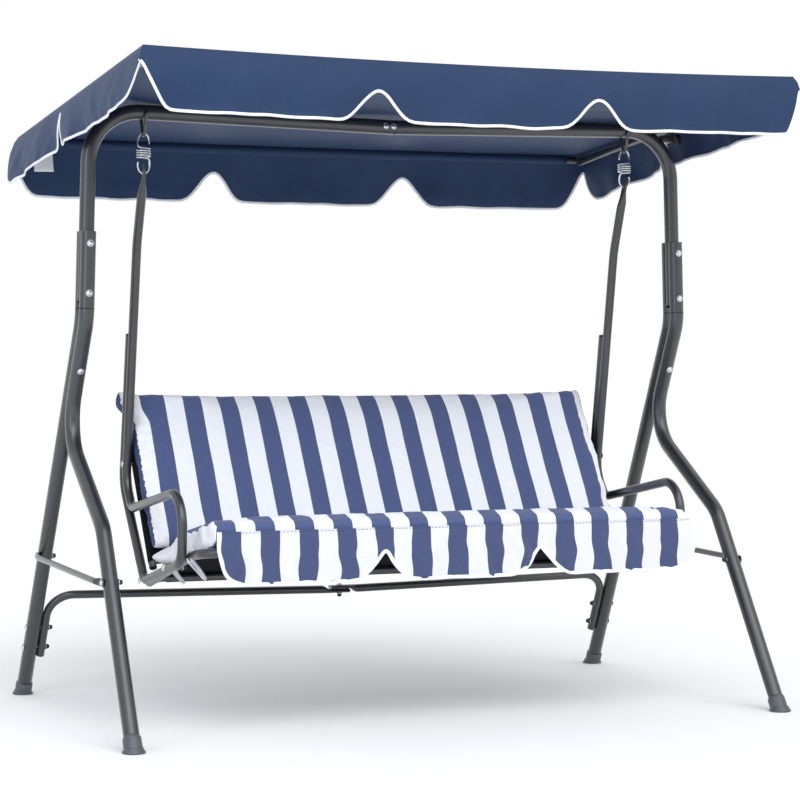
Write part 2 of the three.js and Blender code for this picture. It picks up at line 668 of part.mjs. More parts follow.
// ---- Scalloped cloth ----
// A strip that hangs from y = 0: scallops of equal width, joined at notches.
function scallops(width, count, notch, drop, endNotch = notch) {
  const shape = new THREE.Shape();
  const w = width / count;
  const side = w * 0.2;
  const depthAt = (k) => -(k === 0 || k === count ? endNotch : notch);
  shape.moveTo(width, 0);
  shape.lineTo(0, 0);
  shape.lineTo(0, depthAt(0));
  for (let k = 0; k < count; k++) {
    const x = k * w;
    shape.quadraticCurveTo(x + side * 0.25, -drop, x + side, -drop);
    shape.lineTo(x + w - side, -drop);
    shape.quadraticCurveTo(x + w - side * 0.25, -drop, x + w, depthAt(k + 1));
  }
  shape.closePath();
  return shape;
}
const X = vec(1, 0, 0);
const Z = vec(0, 0, 1);
const skirtShape = scallops(2 * STRIPE_SPAN, 3, SKIRT_NOTCH, SKIRT_DROP, 30);
const skirtCorner = vec(-STRIPE_SPAN, FRONT_BAR[0] - SEAT_TUBE - 6, SKIRT_TOP_Z);
add("skirt", panel(skirtShape, SKIRT_CLOTH, X, Z, skirtCorner), stripedCloth);

// ---- Canopy ----
const roofDir = vec(0, CANOPY_REAR[0] - CANOPY_FRONT[0], CANOPY_REAR[1] - CANOPY_FRONT[1]);
const roofLength = roofDir.length();
roofDir.normalize();
const roofZ = (y) => CANOPY_FRONT[1] + ((y - CANOPY_FRONT[0]) * roofDir.z) / roofDir.y;
function canopyCloth() {
  const left = -CANOPY_X;
  const edge = CANOPY_FRONT[1] - 1;
  const drop = X.clone().cross(roofDir).multiplyScalar(-CANOPY_CLOTH);
  const underside = vec(0, ...CANOPY_FRONT).add(drop);
  const outline = [[left, 0], [CANOPY_X, 0], [CANOPY_X, roofLength], [left, roofLength]];
  const corners = outline.map(([across, along]) => new THREE.Vector2(across, along));
  const roof = panel(corners, CANOPY_CLOTH, X, roofDir, underside);
  const long = scallops(2 * CANOPY_X, 3, VALANCE_NOTCH, VALANCE, CORNER_NOTCH);
  const short = scallops(roofLength, 2, VALANCE_NOTCH * 0.7, VALANCE, CORNER_NOTCH);
  const hang = (outX, outY) => vec(-outX, -outY, 1).normalize(); // leans outwards as it drops
  const frontTop = vec(left, CANOPY_FRONT[0] + CANOPY_CLOTH, edge);
  const rearTop = vec(left, CANOPY_REAR[0], CANOPY_REAR[1] - 1);
  const front = panel(long, CANOPY_CLOTH, X, hang(0, -FRONT_FLARE), frontTop);
  const rear = panel(long, CANOPY_CLOTH, X, hang(0, REAR_FLARE), rearTop);
  const side = (x, sign) =>
    panel(short, CANOPY_CLOTH, roofDir, hang(sign * SIDE_FLARE, 0), vec(x, CANOPY_FRONT[0], edge));
  const right = side(CANOPY_X - CANOPY_CLOTH, 1);
  return join([roof, front, rear, right, side(left, -1)]);
}
add("canopy_cloth", canopyCloth(), navyCloth);

const tubeDrop = CANOPY_CLOTH + CANOPY_TUBE + 1.5;
const tubeInset = CANOPY_CLOTH + CANOPY_TUBE + 1;
const canopyEnds = [CANOPY_FRONT[0] + tubeInset, CANOPY_REAR[0] - tubeInset];
["front", "rear"].forEach((place, i) => {
  const y = canopyEnds[i];
  const z = roofZ(y) - tubeDrop;
  const half = CANOPY_TUBE_X - CANOPY_TUBE - GAP;
  const line = new BentLine([corner(-half, y, z), corner(half, y, z)]);
  add(`canopy_${place}_tube`, sweep(line, CANOPY_TUBE, 1, 12), charcoal);
});
const sideDrop = tubeDrop + 6;
const sideEnds = canopyEnds.map((y) => corner(CANOPY_TUBE_X, y, roofZ(y) - sideDrop));
const sideLine = new BentLine(sideEnds);
addPair("canopy_side_tube", sweep(sideLine, CANOPY_TUBE, 1, 12), charcoal);

// Bracket: a ring round the side tube with a cheek plate down to the pivot, clamped by a knob.
const CHEEK_X = LUG_OUT + GAP;
const CHEEK = 4;
const sideAlong = sideEnds[1].clone().sub(sideEnds[0]).normalize();
const sideMiddle = sideEnds[0].clone().addScaledVector(sideAlong, -sideEnds[0].y / sideAlong.y);
const ringEnd = (along) => sideMiddle.clone().addScaledVector(sideAlong, along);
const ringBore = [ringEnd(-20), ringEnd(20), CANOPY_TUBE + GAP, 16];
const ring = rod(ringEnd(-16), ringEnd(16), CANOPY_TUBE + 3.2, 16);
const cheek = box(CHEEK_X, CHEEK_X + CHEEK, -13, 13, TILT_AXIS_Z - 14, sideMiddle.z - 4);
addPair("canopy_bracket", cut(join([ring, cheek]), [rod(...ringBore), pivotHole]), charcoal);
const KNOB_OUT = CANOPY_X - CANOPY_CLOTH - 2 * GAP;
const knobBack = LUG_OUT - 24;
const knobLength = KNOB_OUT - knobBack;
const knobFace = CHEEK_X + CHEEK + GAP - knobBack;
const knobProfile = [
  [0, 0],
  [4, 0],
  [4, knobFace],
  [9, knobFace],
  [14, knobFace + 4],
  [14, knobLength - 3],
  [11, knobLength],
  [0, knobLength],
];
addPair("tilt_knob", turned(pivotAt(knobBack), pivotAt(KNOB_OUT), knobProfile, 12), blackPlastic);

// The origin goes to the middle of the overall depth.
model.updateMatrixWorld(true);
model.position.y = -new THREE.Box3().setFromObject(model, true).getCenter(vec(0, 0, 0)).y;

export default model;
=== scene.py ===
# Canopy swing bench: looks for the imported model. Lengths below are in millimetres in the bench's
# own drawing frame, whose y = 0 is the plane of the top beam. at() turns them into metres in the
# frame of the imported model.
import math

import bmesh
import bpy
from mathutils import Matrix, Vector, noise


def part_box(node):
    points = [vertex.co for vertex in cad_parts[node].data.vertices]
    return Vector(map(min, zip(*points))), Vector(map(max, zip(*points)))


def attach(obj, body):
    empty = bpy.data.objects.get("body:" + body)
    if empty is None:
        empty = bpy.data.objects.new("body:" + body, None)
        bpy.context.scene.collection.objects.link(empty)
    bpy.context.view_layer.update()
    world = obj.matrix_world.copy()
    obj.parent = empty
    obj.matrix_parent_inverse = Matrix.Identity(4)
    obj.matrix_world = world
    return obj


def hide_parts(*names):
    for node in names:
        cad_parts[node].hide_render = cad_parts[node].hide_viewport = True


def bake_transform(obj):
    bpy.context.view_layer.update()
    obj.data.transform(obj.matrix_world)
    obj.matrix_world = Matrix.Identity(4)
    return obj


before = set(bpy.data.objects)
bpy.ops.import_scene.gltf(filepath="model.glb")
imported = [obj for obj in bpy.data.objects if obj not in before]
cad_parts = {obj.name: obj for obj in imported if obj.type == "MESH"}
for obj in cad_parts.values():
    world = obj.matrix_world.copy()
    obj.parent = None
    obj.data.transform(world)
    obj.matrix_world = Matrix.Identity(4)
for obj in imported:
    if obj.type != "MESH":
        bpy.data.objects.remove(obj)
scene = bpy.context.scene
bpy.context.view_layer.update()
beam_lo, beam_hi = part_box("beam_right")
BEAM_Y = (beam_lo[1] + beam_hi[1]) / 2

X, Y, Z = Vector((1, 0, 0)), Vector((0, 1, 0)), Vector((0, 0, 1))
SIDES = (("left", -1), ("right", 1))
GAP = 0.3  # clearance between neighbouring tubes


def at(x, y, z):
    return Vector((x / 1000, y / 1000 + BEAM_Y, z / 1000))


def drawn(co):
    """A point in metres, back in drawing millimetres."""
    return co.x * 1000, (co.y - BEAM_Y) * 1000, co.z * 1000


def smooth(t):
    t = min(1, max(0, t))
    return t * t * (3 - 2 * t)


def added(name, data):
    obj = bpy.data.objects.new(name, data)
    scene.collection.objects.link(obj)
    return obj


# ---------------------------------------------------------------- camera
camera = added("camera", bpy.data.cameras.new("camera"))
camera.location = (-2.298, -5.58 + BEAM_Y, 0.868)
camera.rotation_euler = (math.radians(90 - 1.147), 0, math.radians(-22.534))
camera.data.sensor_width = 36
camera.data.lens = 110.4
scene.camera = camera
scene.view_settings.view_transform = "Standard"


# ---------------------------------------------------------------- materials
class Nodes:
    """A small wrapper that adds and links shader nodes."""

    def __init__(self, name):
        self.material = bpy.data.materials.new(name)
        self.material.use_nodes = True
        self.tree = self.material.node_tree
        self.shader = self.tree.nodes["Principled BSDF"]
        self.coords = self.tree.nodes.new("ShaderNodeTexCoord").outputs["Object"]

    def add(self, kind, inputs=(), **settings):
        node = self.tree.nodes.new("ShaderNode" + kind)
        for key, value in settings.items():
            setattr(node, key, value)
        for key, value in dict(inputs).items():
            if isinstance(value, bpy.types.NodeSocket):
                self.tree.links.new(value, node.inputs[key])
            else:
                node.inputs[key].default_value = value
        return node

    def link(self, output, name):
        self.tree.links.new(output, self.shader.inputs[name])

    def set(self, values):
        for name, value in values.items():
            self.shader.inputs[name].default_value = value

    def math(self, operation, a, b=0.0):
        return self.add("Math", {0: a, 1: b}, operation=operation).outputs[0]

    def noise(self, scale, detail=3.0, stretch=None):
        coords = self.coords
        if stretch:
            mapping = self.add("Mapping", {"Vector": coords, "Scale": stretch})
            coords = mapping.outputs[0]
        inputs = {"Vector": coords, "Scale": scale, "Detail": detail}
        return self.add("TexNoise", inputs).outputs["Fac"]

    def between(self, value, low, high):
        inputs = {"Value": value, "From Min": 0.3, "From Max": 0.7, "To Min": low, "To Max": high}
        return self.add("MapRange", inputs).outputs[0]

    def mix(self, share, first, second):
        node = self.add("Mix", data_type="RGBA")
        for socket, value in zip((node.inputs[0], node.inputs[6], node.inputs[7]), (share, first, second)):
            if isinstance(value, bpy.types.NodeSocket):
                self.tree.links.new(value, socket)
            else:
                socket.default_value = value
        return node.outputs[2]

    def bump(self, height, strength, distance, normal=None):
        inputs = {"Height": height, "Strength": strength, "Distance": distance}
        if normal:
            inputs["Normal"] = normal
        return self.add("Bump", inputs).outputs[0]


def rgb(r, g, b, lift=1.0):
    return (r * lift, g * lift, b * lift, 1)


def powder_coat():
    n = Nodes("charcoal powder coat")
    base = (0.031, 0.033, 0.036)
    n.link(n.mix(n.noise(14), rgb(*base, 0.82), rgb(*base, 1.2)), "Base Color")
    n.link(n.between(n.noise(60), 0.30, 0.42), "Roughness")
    n.set({"Metallic": 0.4, "Coat Weight": 1.0, "Coat Roughness": 0.3})
    n.link(n.bump(n.noise(700, 2.0), 0.12, 0.0004), "Normal")
    return n.material


def zinc_plate():
    n = Nodes("bright zinc plate")
    n.link(n.mix(n.noise(90), rgb(0.55, 0.56, 0.58), rgb(0.76, 0.77, 0.79)), "Base Color")
    n.link(n.between(n.noise(160), 0.18, 0.34), "Roughness")
    n.set({"Metallic": 1.0})
    n.link(n.bump(n.noise(900), 0.08, 0.0003), "Normal")
    return n.material


def moulded(name, color, roughness):
    n = Nodes(name)
    n.link(n.mix(n.noise(30), rgb(*color, 0.85), rgb(*color, 1.15)), "Base Color")
    n.link(n.between(n.noise(120), roughness - 0.07, roughness + 0.07), "Roughness")
    n.link(n.bump(n.noise(1400, 4.0), 0.2, 0.0003), "Normal")
    return n.material


def weave(n, threads_per_metre, strength):
    """Bump of a plain weave: two sets of ribs that work on any wall of the piece."""
    split = n.add("SeparateXYZ", {0: n.coords})
    turn = threads_per_metre * math.pi
    waves = [n.math("SINE", n.math("MULTIPLY", split.outputs[i], turn)) for i in range(3)]
    height = n.math("MULTIPLY", n.math("ADD", waves[0], waves[1]), waves[2])
    height = n.math("ADD", height, n.math("MULTIPLY", waves[0], waves[1]))
    return n.bump(height, strength, 0.0004)


def cloth(name, low, high, roughness, sheen, tint=None, threads=1300, crumple=0.15, gloss=0.5):
    """Plain weave between two shades, threads per metre. tint colours its sheen and shine."""
    n = Nodes(name)
    slub = n.noise(420, 2.0, (1, 1, 0.2))
    n.link(n.mix(n.math("MULTIPLY", n.math("ADD", n.noise(5), slub), 0.5), low, high), "Base Color")
    n.set({"Roughness": roughness, "Specular IOR Level": gloss, "Specular Tint": tint or rgb(1, 1, 1)})
    n.set({"Sheen Weight": sheen, "Sheen Roughness": 0.4, "Sheen Tint": tint or high})
    n.link(n.bump(n.noise(55, 3.0), crumple, 0.004, weave(n, threads, 0.25)), "Normal")
    return n.material


STRIPE_PITCH = 0.093
STRIPE_EDGES = (0.246, 0.254)  # of the pitch, either side of a stripe's middle


def striped_cloth(name, painted_shade_white=1.0, painted_shade_dye=1.0):
    """Stripes across X, by each point's place on the cloth as it was cut. The two factors darken its whites
    and its dye: painted shade, for a copy shown less lit.
    """
    n = Nodes(name)
    place = n.add("Attribute", attribute_name="cut_place").outputs["Vector"]
    x = n.add("SeparateXYZ", {0: place}).outputs[0]
    waver = n.math("MULTIPLY", n.math("SUBTRACT", n.noise(9, 1.0), 0.5), 0.003)
    along = n.math("DIVIDE", n.math("ADD", x, waver), STRIPE_PITCH)
    middle = n.math("ABSOLUTE", n.math("SUBTRACT", along, n.math("ROUND", along)))
    low, high = STRIPE_EDGES
    inputs = {"Value": middle, "From Min": low, "From Max": high, "To Min": 1.0, "To Max": 0.0}
    blue = n.add("MapRange", inputs).outputs[0]
    slub = n.noise(380, 2.0, (1, 0.3, 0.3))
    white = n.mix(slub, rgb(0.84, 0.84, 0.88, painted_shade_white), rgb(0.95, 0.95, 0.98, painted_shade_white))
    dyed = n.mix(slub, rgb(0.050, 0.073, 0.182, painted_shade_dye), rgb(0.078, 0.110, 0.258, painted_shade_dye))
    n.link(n.mix(blue, white, dyed), "Base Color")
    n.set({"Roughness": 0.85, "Sheen Weight": 0.2})
    n.link(n.bump(n.noise(38, 3.0), 0.25, 0.005, weave(n, 1100, 0.3)), "Normal")
    return n.material


COAT = powder_coat()
ZINC = zinc_plate()
CAP_BLACK = moulded("black moulded caps", (0.014, 0.014, 0.015), 0.42)
FOOT_GREY = moulded("dark grey moulded feet", (0.075, 0.086, 0.098), 0.42)
NAVY_SHADES = rgb(0.013, 0.026, 0.064), rgb(0.024, 0.047, 0.112)
NAVY = cloth("navy canopy cloth", *NAVY_SHADES, 0.52, 0.08, rgb(0.46, 0.6, 0.95), crumple=0.35, gloss=0.42)
BINDING = cloth("white binding tape", rgb(0.74, 0.74, 0.78), rgb(0.88, 0.88, 0.92), 0.8, 0.2)
WHITE = cloth("white gusset cloth", rgb(0.78, 0.78, 0.84), rgb(0.90, 0.90, 0.95), 0.85, 0.2)
STRIPES = striped_cloth("striped cushion cloth")
# The skirt is the same cloth as the cushion with whites at 0.80 and blues at 0.72: painted shade that makes
# its front darker than the cushion's.
SKIRT_STRIPES_PAINTED_SHADE = striped_cloth("striped skirt cloth, painted shade", 0.80, 0.72)
MESH_SHADES = rgb(0.006, 0.006, 0.008), rgb(0.014, 0.014, 0.018)
SLING = cloth("black sling mesh", *MESH_SHADES, 0.95, 0, threads=700, gloss=0.05)
DYED = cloth("blue gusset cloth", rgb(0.040, 0.058, 0.150), rgb(0.060, 0.086, 0.210), 0.85, 0.2)


# ---------------------------------------------------------------- mesh helpers
def piece(name, verts, faces, materials, body, nodes=(), slot=None, crease=35, indices=None):
    """A visible piece from vertices in metres, riding on body and standing for the CAD nodes."""
    mesh = bpy.data.meshes.new(name)
    mesh.from_pydata([tuple(v) for v in verts], [], faces)
    for m in materials if isinstance(materials, (list, tuple)) else [materials]:
        mesh.materials.append(m)
    if indices:
        mesh.polygons.foreach_set("material_index", indices)
    mesh.shade_smooth()
    mesh.set_sharp_from_angle(angle=math.radians(crease))
    obj = added(name, mesh)
    if body:
        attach(obj, body)
    if nodes:
        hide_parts(*nodes)
    return obj


def bent(corners, step=4.0):
    """Stations (point, tangent) along a polyline with rounded corners: (x, y, z[, radius])."""
    points = [Vector(c[:3]) for c in corners]
    line = []
    for i, p in enumerate(points):
        radius = corners[i][3] if len(corners[i]) > 3 else 0
        into = (p - points[i - 1]).normalized() if i else None
        out = (points[i + 1] - p).normalized() if i + 1 < len(points) else None
        if not (into and out and radius):
            line.append((p, (into or out) if not (into and out) else (into + out).normalized()))
            continue
        angle = into.angle(out)
        start = p - into * radius * math.tan(angle / 2)
        side = (out - into * math.cos(angle)).normalized()
        steps = max(2, round(math.degrees(angle) / step))
        for k in range(steps + 1):
            a = angle * k / steps
            q = start + into * radius * math.sin(a) + side * radius * (1 - math.cos(a))
            line.append((q, into * math.cos(a) + side * math.sin(a)))
    return line


def eased(points, rounds, closed=False):
    """Points averaged with their neighbours. An open line keeps its ends."""
    for _ in range(rounds):
        following = points[1:] + points[:1]
        soft = [(points[i - 1] + p * 2 + following[i]) / 4 for i, p in enumerate(points)]
        points = soft if closed else [points[0], *soft[1:-1], points[-1]]
    return points


def tube_faces(count, sides, closed=False):
    """Faces of a skin made of count rings, either closed round on itself or capped at both ends."""
    faces = []
    total = count * sides
    for i in range(count if closed else count - 1):
        for k in range(sides):
            a, b = i * sides + k, i * sides + (k + 1) % sides
            faces.append((a, b, (b + sides) % total, (a + sides) % total))
    if not closed:
        faces.append(tuple(range(sides - 1, -1, -1)))
        faces.append(tuple(range(total - sides, total)))
    return faces


def sheet_faces(columns, rows):
    """Faces of a grid of columns, each a run of rows points."""
    corners = [i * rows + j for i in range(columns - 1) for j in range(rows - 1)]
    return [(a, a + 1, a + rows + 1, a + rows) for a in corners]


def rings(line, radius, ref, sides=24):
    """Closed swept skin in drawing millimetres, whose first corner stays on the side of ref."""
    verts = []
    for p, t in line:
        side = (ref - t * ref.dot(t)).normalized()
        up = t.cross(side)
        for k in range(sides):
            a = 2 * math.pi * k / sides
            verts.append(p + side * (radius * math.cos(a)) + up * (radius * math.sin(a)))
    return verts, tube_faces(len(line), sides)


def lathe(start, end, profile, sides=24):
    """Turned skin: profile is (radius, distance from start towards end), from axis to axis."""
    along = (end - start).normalized()
    side = along.orthogonal().normalized()
    up = along.cross(side)
    verts = []
    for r, h in profile:
        for k in range(sides):
            a = 2 * math.pi * k / sides
            verts.append(start + along * h + (side * math.cos(a) + up * math.sin(a)) * max(r, 0.01))
    return verts, tube_faces(len(profile), sides)


def joined(*skins):
    verts, faces = [], []
    for v, f in skins:
        faces += [tuple(i + len(verts) for i in face) for face in f]
        verts += v
    return verts, faces


def placed(verts):
    return [at(*v) for v in verts]


def mirrored(skin, sign):
    """The skin as drawn on the right, or its mirror image on the left."""
    if sign > 0:
        return skin
    verts, faces = skin
    return [Vector((-v.x, v.y, v.z)) for v in verts], [tuple(reversed(f)) for f in faces]


def pair(name, skin, material, body, node, slot="frame_paint", crease=35):
    """The right piece and its mirror image on the left."""
    for side, sign in SIDES:
        verts, faces = mirrored(skin, sign)
        nodes = [f"{node}_{side}"] if node else ()
        piece(f"{name}_{side}", placed(verts), faces, material, body, nodes, slot, crease)


def thicken(obj, thickness, offset=-1):
    cloth_thickness = obj.modifiers.new("cloth thickness", "SOLIDIFY")
    cloth_thickness.thickness = thickness
    cloth_thickness.offset = offset


# ---------------------------------------------------------------- stand
TUBE = 18
LEG_TOP, LEG_TOP_X, SPLAY = 1147, 775.5, 0.027
APART, KNEE, KNEE_RADIUS = 17.5, 941, 112
FRONT_FOOT_Y, REAR_FOOT_Y = -487, 507
REAR_SLOPE = (REAR_FOOT_Y - APART) / KNEE
TUBE_END = 985  # of the downtubes, between the legs
BEAM_Z, BEAM_DIP, BEAM_BEND = 1432.5, 16.5, 125
FOOT_FLOOR = 4.3  # the legs stop above the floor of their caps
PRESS_FROM = 715  # the two legs of a side touch above this height


def side_x(z):
    return LEG_TOP_X + SPLAY * (LEG_TOP - z)


def on_side(y, z, radius=0):
    return (side_x(z), y, z, radius)


def beam_z(x):
    return BEAM_Z - BEAM_DIP * (1 - abs(x) / side_x(BEAM_Z))


def leg_y(z, apart):
    return apart + max(0, KNEE - z) * REAR_SLOPE


def crushed(skin, facing):
    """Leg tops wrap the downtube; lower down the legs are pressed flat where they touch."""
    middle_path = [on_side(0, 1200), on_side(0, KNEE, KNEE_RADIUS), on_side(leg_y(600, 0), 600)]
    middle = [p for p, t in bent(middle_path)]
    verts, faces = skin
    for v in verts:
        v.z = max(v.z, FOOT_FLOOR)
        if v.z < PRESS_FROM:
            continue
        if v.z > TUBE_END - 5:
            dx = v.x - side_x(v.z)
            limit = -math.sqrt(max(0, (TUBE + GAP) ** 2 - dx * dx))
        else:
            i = next(k for k, m in enumerate(middle) if m.z <= v.z)
            a, b = middle[i - 1], middle[i]
            limit = facing * (a.y + (b.y - a.y) * (v.z - a.z) / (b.z - a.z)) - GAP
        v.y = facing * min(facing * v.y, limit)
    return verts, faces


def leg_top(apart):
    stations = [on_side(apart, z) for z in (LEG_TOP, 1100, 1050, 1010, 990, 979, 965)]
    return stations + [on_side(apart, KNEE, KNEE_RADIUS), on_side(leg_y(850, apart), 850)]


front_line = bent(leg_top(-APART) + [
    on_side(leg_y(800, -APART), 800),
    on_side(121, 672, KNEE_RADIUS),
    on_side(-201, 468, KNEE_RADIUS),
    on_side(-483, 6),
])
rear_line = bent(leg_top(APART) + [on_side(leg_y(z, APART), z) for z in (800, 760, 725, 700, 660, 6)])
pair("front_leg_tube", crushed(rings(front_line, TUBE, X, 32), 1), COAT, "frame", "front_leg")
pair("rear_leg_tube", crushed(rings(rear_line, TUBE, X, 32), -1), COAT, "frame", "rear_leg")

LUG_X, LUG_Z, LUG_WIDE, LUG_HIGH = (742, 774.3), 1412, 11, 9
beam_corner = on_side(0, BEAM_Z, BEAM_BEND)
beam_line = bent([(0.7, 0, beam_z(0)), beam_corner, on_side(0, 1160), on_side(0, TUBE_END)])


def bevelled_box(lo, hi, bevel):
    bm = bmesh.new()
    bmesh.ops.create_cube(bm, size=1)
    for v in bm.verts:
        v.co = Vector([lo[i] + (hi[i] - lo[i]) * (v.co[i] + 0.5) for i in range(3)])
    bmesh.ops.bevel(bm, geom=bm.edges[:], offset=bevel, segments=3, affect="EDGES", profile=0.5)
    skin = [v.co.copy() for v in bm.verts], [tuple(v.index for v in f.verts) for f in bm.faces]
    bm.free()
    return skin


lug_from = (LUG_X[0], -LUG_WIDE, LUG_Z - LUG_HIGH)
lug = bevelled_box(lug_from, (LUG_X[1], LUG_WIDE, LUG_Z + LUG_HIGH), 2.5)
pair("beam_tube", joined(rings(beam_line, TUBE, Y, 32), lug), COAT, "frame", "beam")

BOLT_SIDES = 24


def bolt(head, nut, name, node, body, both=True):
    """Domed plated head and washer at one end, dark cap nut at the other."""
    grip = (nut - head).length
    dome = [(0, -4.2), (2.6, -4.0), (4.8, -3.2), (6.4, -1.6), (6.6, -1.0), (8.2, -1.0), (8.2, 0)]
    plated = dome + [(3, 0), (3, grip), (7.6, grip), (7.6, grip + 1)]
    cap = [(5.9, grip + 1), (5.9, grip + 5), (5.2, grip + 7.6), (3.4, grip + 9.4), (0, grip + 10)]
    skin = lathe(head, nut, plated + cap, BOLT_SIDES)
    bright = (len(plated) - 1) * BOLT_SIDES
    indices = [0] * bright + [1] * (len(skin[1]) - bright)
    indices[-2] = 0  # the face that closes the head
    for side, sign in SIDES if both else ((None, 1),):
        verts, faces = mirrored(skin, sign)
        suffix = f"_{side}" if side else ""
        nodes = [node + suffix]
        piece(name + suffix, placed(verts), faces, [ZINC, CAP_BLACK], body, nodes, "zinc", 40, indices)


for i, z in enumerate((1118, 1002, 835)):
    lean = 0 if z > KNEE else math.atan(REAR_SLOPE)
    through = Vector((0, math.cos(lean), math.sin(lean)))
    middle = Vector((side_x(z), leg_y(z, 0), z))
    reach = through * (APART * math.cos(lean) + TUBE)
    bolt(middle - reach, middle + reach, f"leg_clamp_bolt_{i + 1}", f"leg_bolt_{i + 1}", "frame")
for i, x in enumerate((7, 27)):
    ends = [Vector((-x, sign * TUBE, beam_z(x))) for sign in (-1, 1)]
    bolt(*ends, f"beam_joint_bolt_{i + 1}", f"beam_bolt_{i + 1}", "frame", both=False)


def foot(y, toward_y, toward_z):
    base = Vector((side_x(0), y, 0))
    up = Vector((side_x(toward_z) - side_x(0), toward_y - y, toward_z)).normalized()
    wall = [(0, 0), (20.6, 0), (20.6, 26), (20.9, 27.5), (20.9, 46)]
    wall += [(20.2, 49), (19.2, 51), (18, 52), (0, 52)]
    collar = lathe(base - up * 14, base + up * 38, wall, 32)
    for v in collar[0]:
        v.z = max(v.z, 0.2)
    low = [(0, 0), (24.4, 0), (25.6, 1), (26, 2.4), (25.6, 4)]
    flange = low + [(23.6, 6.4), (21.6, 9.5), (20.4, 13), (0, 13)]
    return joined(collar, lathe(base, base + Z, flange, 32))


front_foot, rear_foot = foot(FRONT_FOOT_Y, -201, 468), foot(REAR_FOOT_Y, APART, KNEE)
pair("front_foot", front_foot, FOOT_GREY, "frame", "front_foot_cap", "foot_plastic")
pair("rear_foot", rear_foot, FOOT_GREY, "frame", "rear_foot_cap", "foot_plastic")

# Side braces, pressed flat at their ends
BRACE, BRACE_Z = 7.25, (350, 364)
BRACE_Y = (-274, leg_y(BRACE_Z[1], APART))
brace_ends = [Vector((side_x(z) + TUBE + GAP + BRACE, y, z)) for y, z in zip(BRACE_Y, BRACE_Z)]
brace_dir = (brace_ends[1] - brace_ends[0]).normalized()
brace_length = (brace_ends[1] - brace_ends[0]).length
brace_stops = [-10, -7, 0, 14, 18, 23, 28, 33, 38]
brace_line = [(brace_ends[0] + brace_dir * s, brace_dir) for s in brace_stops]
brace_line += [(brace_ends[1] - brace_dir * s, brace_dir) for s in reversed(brace_stops)]
brace = rings(brace_line, BRACE, X, 20)
for v in brace[0]:
    s = (v - brace_ends[0]).dot(brace_dir)
    inward = min(s, brace_length - s)
    press = smooth(1 - min(1, max(0, (inward - 16) / 20)))
    wall = side_x(v.z) + TUBE + GAP
    v.x = wall + (v.x - wall) * (1 - 0.8 * press)
    axis = brace_ends[0] + brace_dir * s
    v.z = axis.z + (v.z - axis.z) * (1 + 0.35 * press) * (0.72 if inward < -8 else 1)
pair("side_brace_tube", brace, COAT, "frame", "side_brace")
for end, y, z in zip(("front", "rear"), BRACE_Y, BRACE_Z):
    head = Vector((side_x(z) + TUBE + 3.4, y, z))
    bolt(head, Vector((side_x(z) - TUBE, y, z)), f"brace_{end}_bolt", f"brace_bolt_{end}", "frame")

# Crossbar
BAR, BAR_Z, BAR_SAG, BAR_FOOT = 10.3, 262, 13, 104
LAP, LAP_PRESS = 26, 0.5  # half the overlap, and how thin the tubes are pressed there
LEVEL = BAR_Z - BAR_SAG
bar_y = leg_y(BAR_Z, APART)


def bar_x(z):
    return side_x(z) - TUBE - BAR - GAP


bar_corner = (bar_x(BAR_Z), bar_y, BAR_Z, 62)
bar_end = (bar_x(BAR_FOOT), leg_y(BAR_FOOT, APART), BAR_FOOT)
along_leg = Vector(bar_end) - Vector(bar_corner[:3])
bar_ref = X.cross(along_leg).normalized()
bar_stops = [(LAP + x, bar_y, LEVEL) for x in (-2 * LAP, 3 - 2 * LAP, 0, 5, 10, 16, 24)]
for side, sign in SIDES:
    skin = rings(bent([*bar_stops, bar_corner, bar_end]), BAR, bar_ref, 24)
    for v in skin[0]:
        press = smooth(1 - min(1, max(0, (v.x - LAP) / 22)))
        thin = 1 - (1 - LAP_PRESS) * press
        v.z = LEVEL + (v.z - LEVEL) * thin + sign * press * (BAR * LAP_PRESS + GAP / 2)
        v.y = bar_y + (v.y - bar_y) * (1 + 0.25 * press) if v.x < LAP + 30 else v.y
    verts, faces = mirrored(skin, sign)
    piece(f"crossbar_tube_{side}", placed(verts), faces, COAT, "frame", [f"crossbar_{side}"], "frame_paint")
lap = Vector((0, bar_y, LEVEL))
reach = 2 * BAR * LAP_PRESS + 0.4
bolt(lap + Z * reach, lap - Z * reach, "crossbar_lap_bolt", "crossbar_middle_bolt", "frame", both=False)
for place, z in (("upper", 177), ("lower", 126)):
    y = leg_y(z, APART)
    ends = Vector((side_x(z) + TUBE, y, z)), Vector((bar_x(z) - BAR, y, z))
    bolt(*ends, f"crossbar_{place}_bolt", f"crossbar_bolt_{place}", "frame")

# ---------------------------------------------------------------- suspension
HANG_X, HOOK_Z, LOW_HOOK_Z = 637, 1382.5, 1285.5
EYE_LOW, EYE_HALF, EYE_WIRE = 1363.2, 26, 3.6
eye_z = beam_z(HANG_X)
eye_stops = [(-10, eye_z), (-EYE_HALF, eye_z, 5), (0, EYE_LOW, 7), (EYE_HALF, eye_z, 5), (10, eye_z)]
eye = bent([(HANG_X, *stop) for stop in eye_stops], 12)
pair("swing_eye", rings(eye, EYE_WIRE, X, 16), COAT, "frame", "beam_eye")


def spring_line():
    """One wire: open hook, close coil, open hook."""
    middle, coil_half, coil, turns = (HOOK_Z + LOW_HOOK_Z) / 2, 14, 16, 4.5
    high = HOOK_Z - middle - coil_half
    points = []

    def hook(sign, start, stop):
        for k in range(19):
            a = math.radians(start + (stop - start) * k / 18)
            z = coil_half + high * (0.42 + 0.58 * math.sin(a))
            points.append(Vector((HANG_X + sign * (coil - 1.5) * math.cos(a), 0, middle + sign * z)))

    hook(1, 200, 0)
    count = round(turns * 24)
    for k in range(1, count):
        a = k / count * turns * 2 * math.pi
        ease = min(1, k / 14, (count - k) / 14)
        z = middle + coil_half * (1 - 2 * k / count) * (0.86 + 0.14 * (1 - ease))
        points.append(Vector((HANG_X + coil * math.cos(a), -coil * math.sin(a) * ease**0.5, z)))
    hook(-1, 0, 200)
    return eased(points, 4)


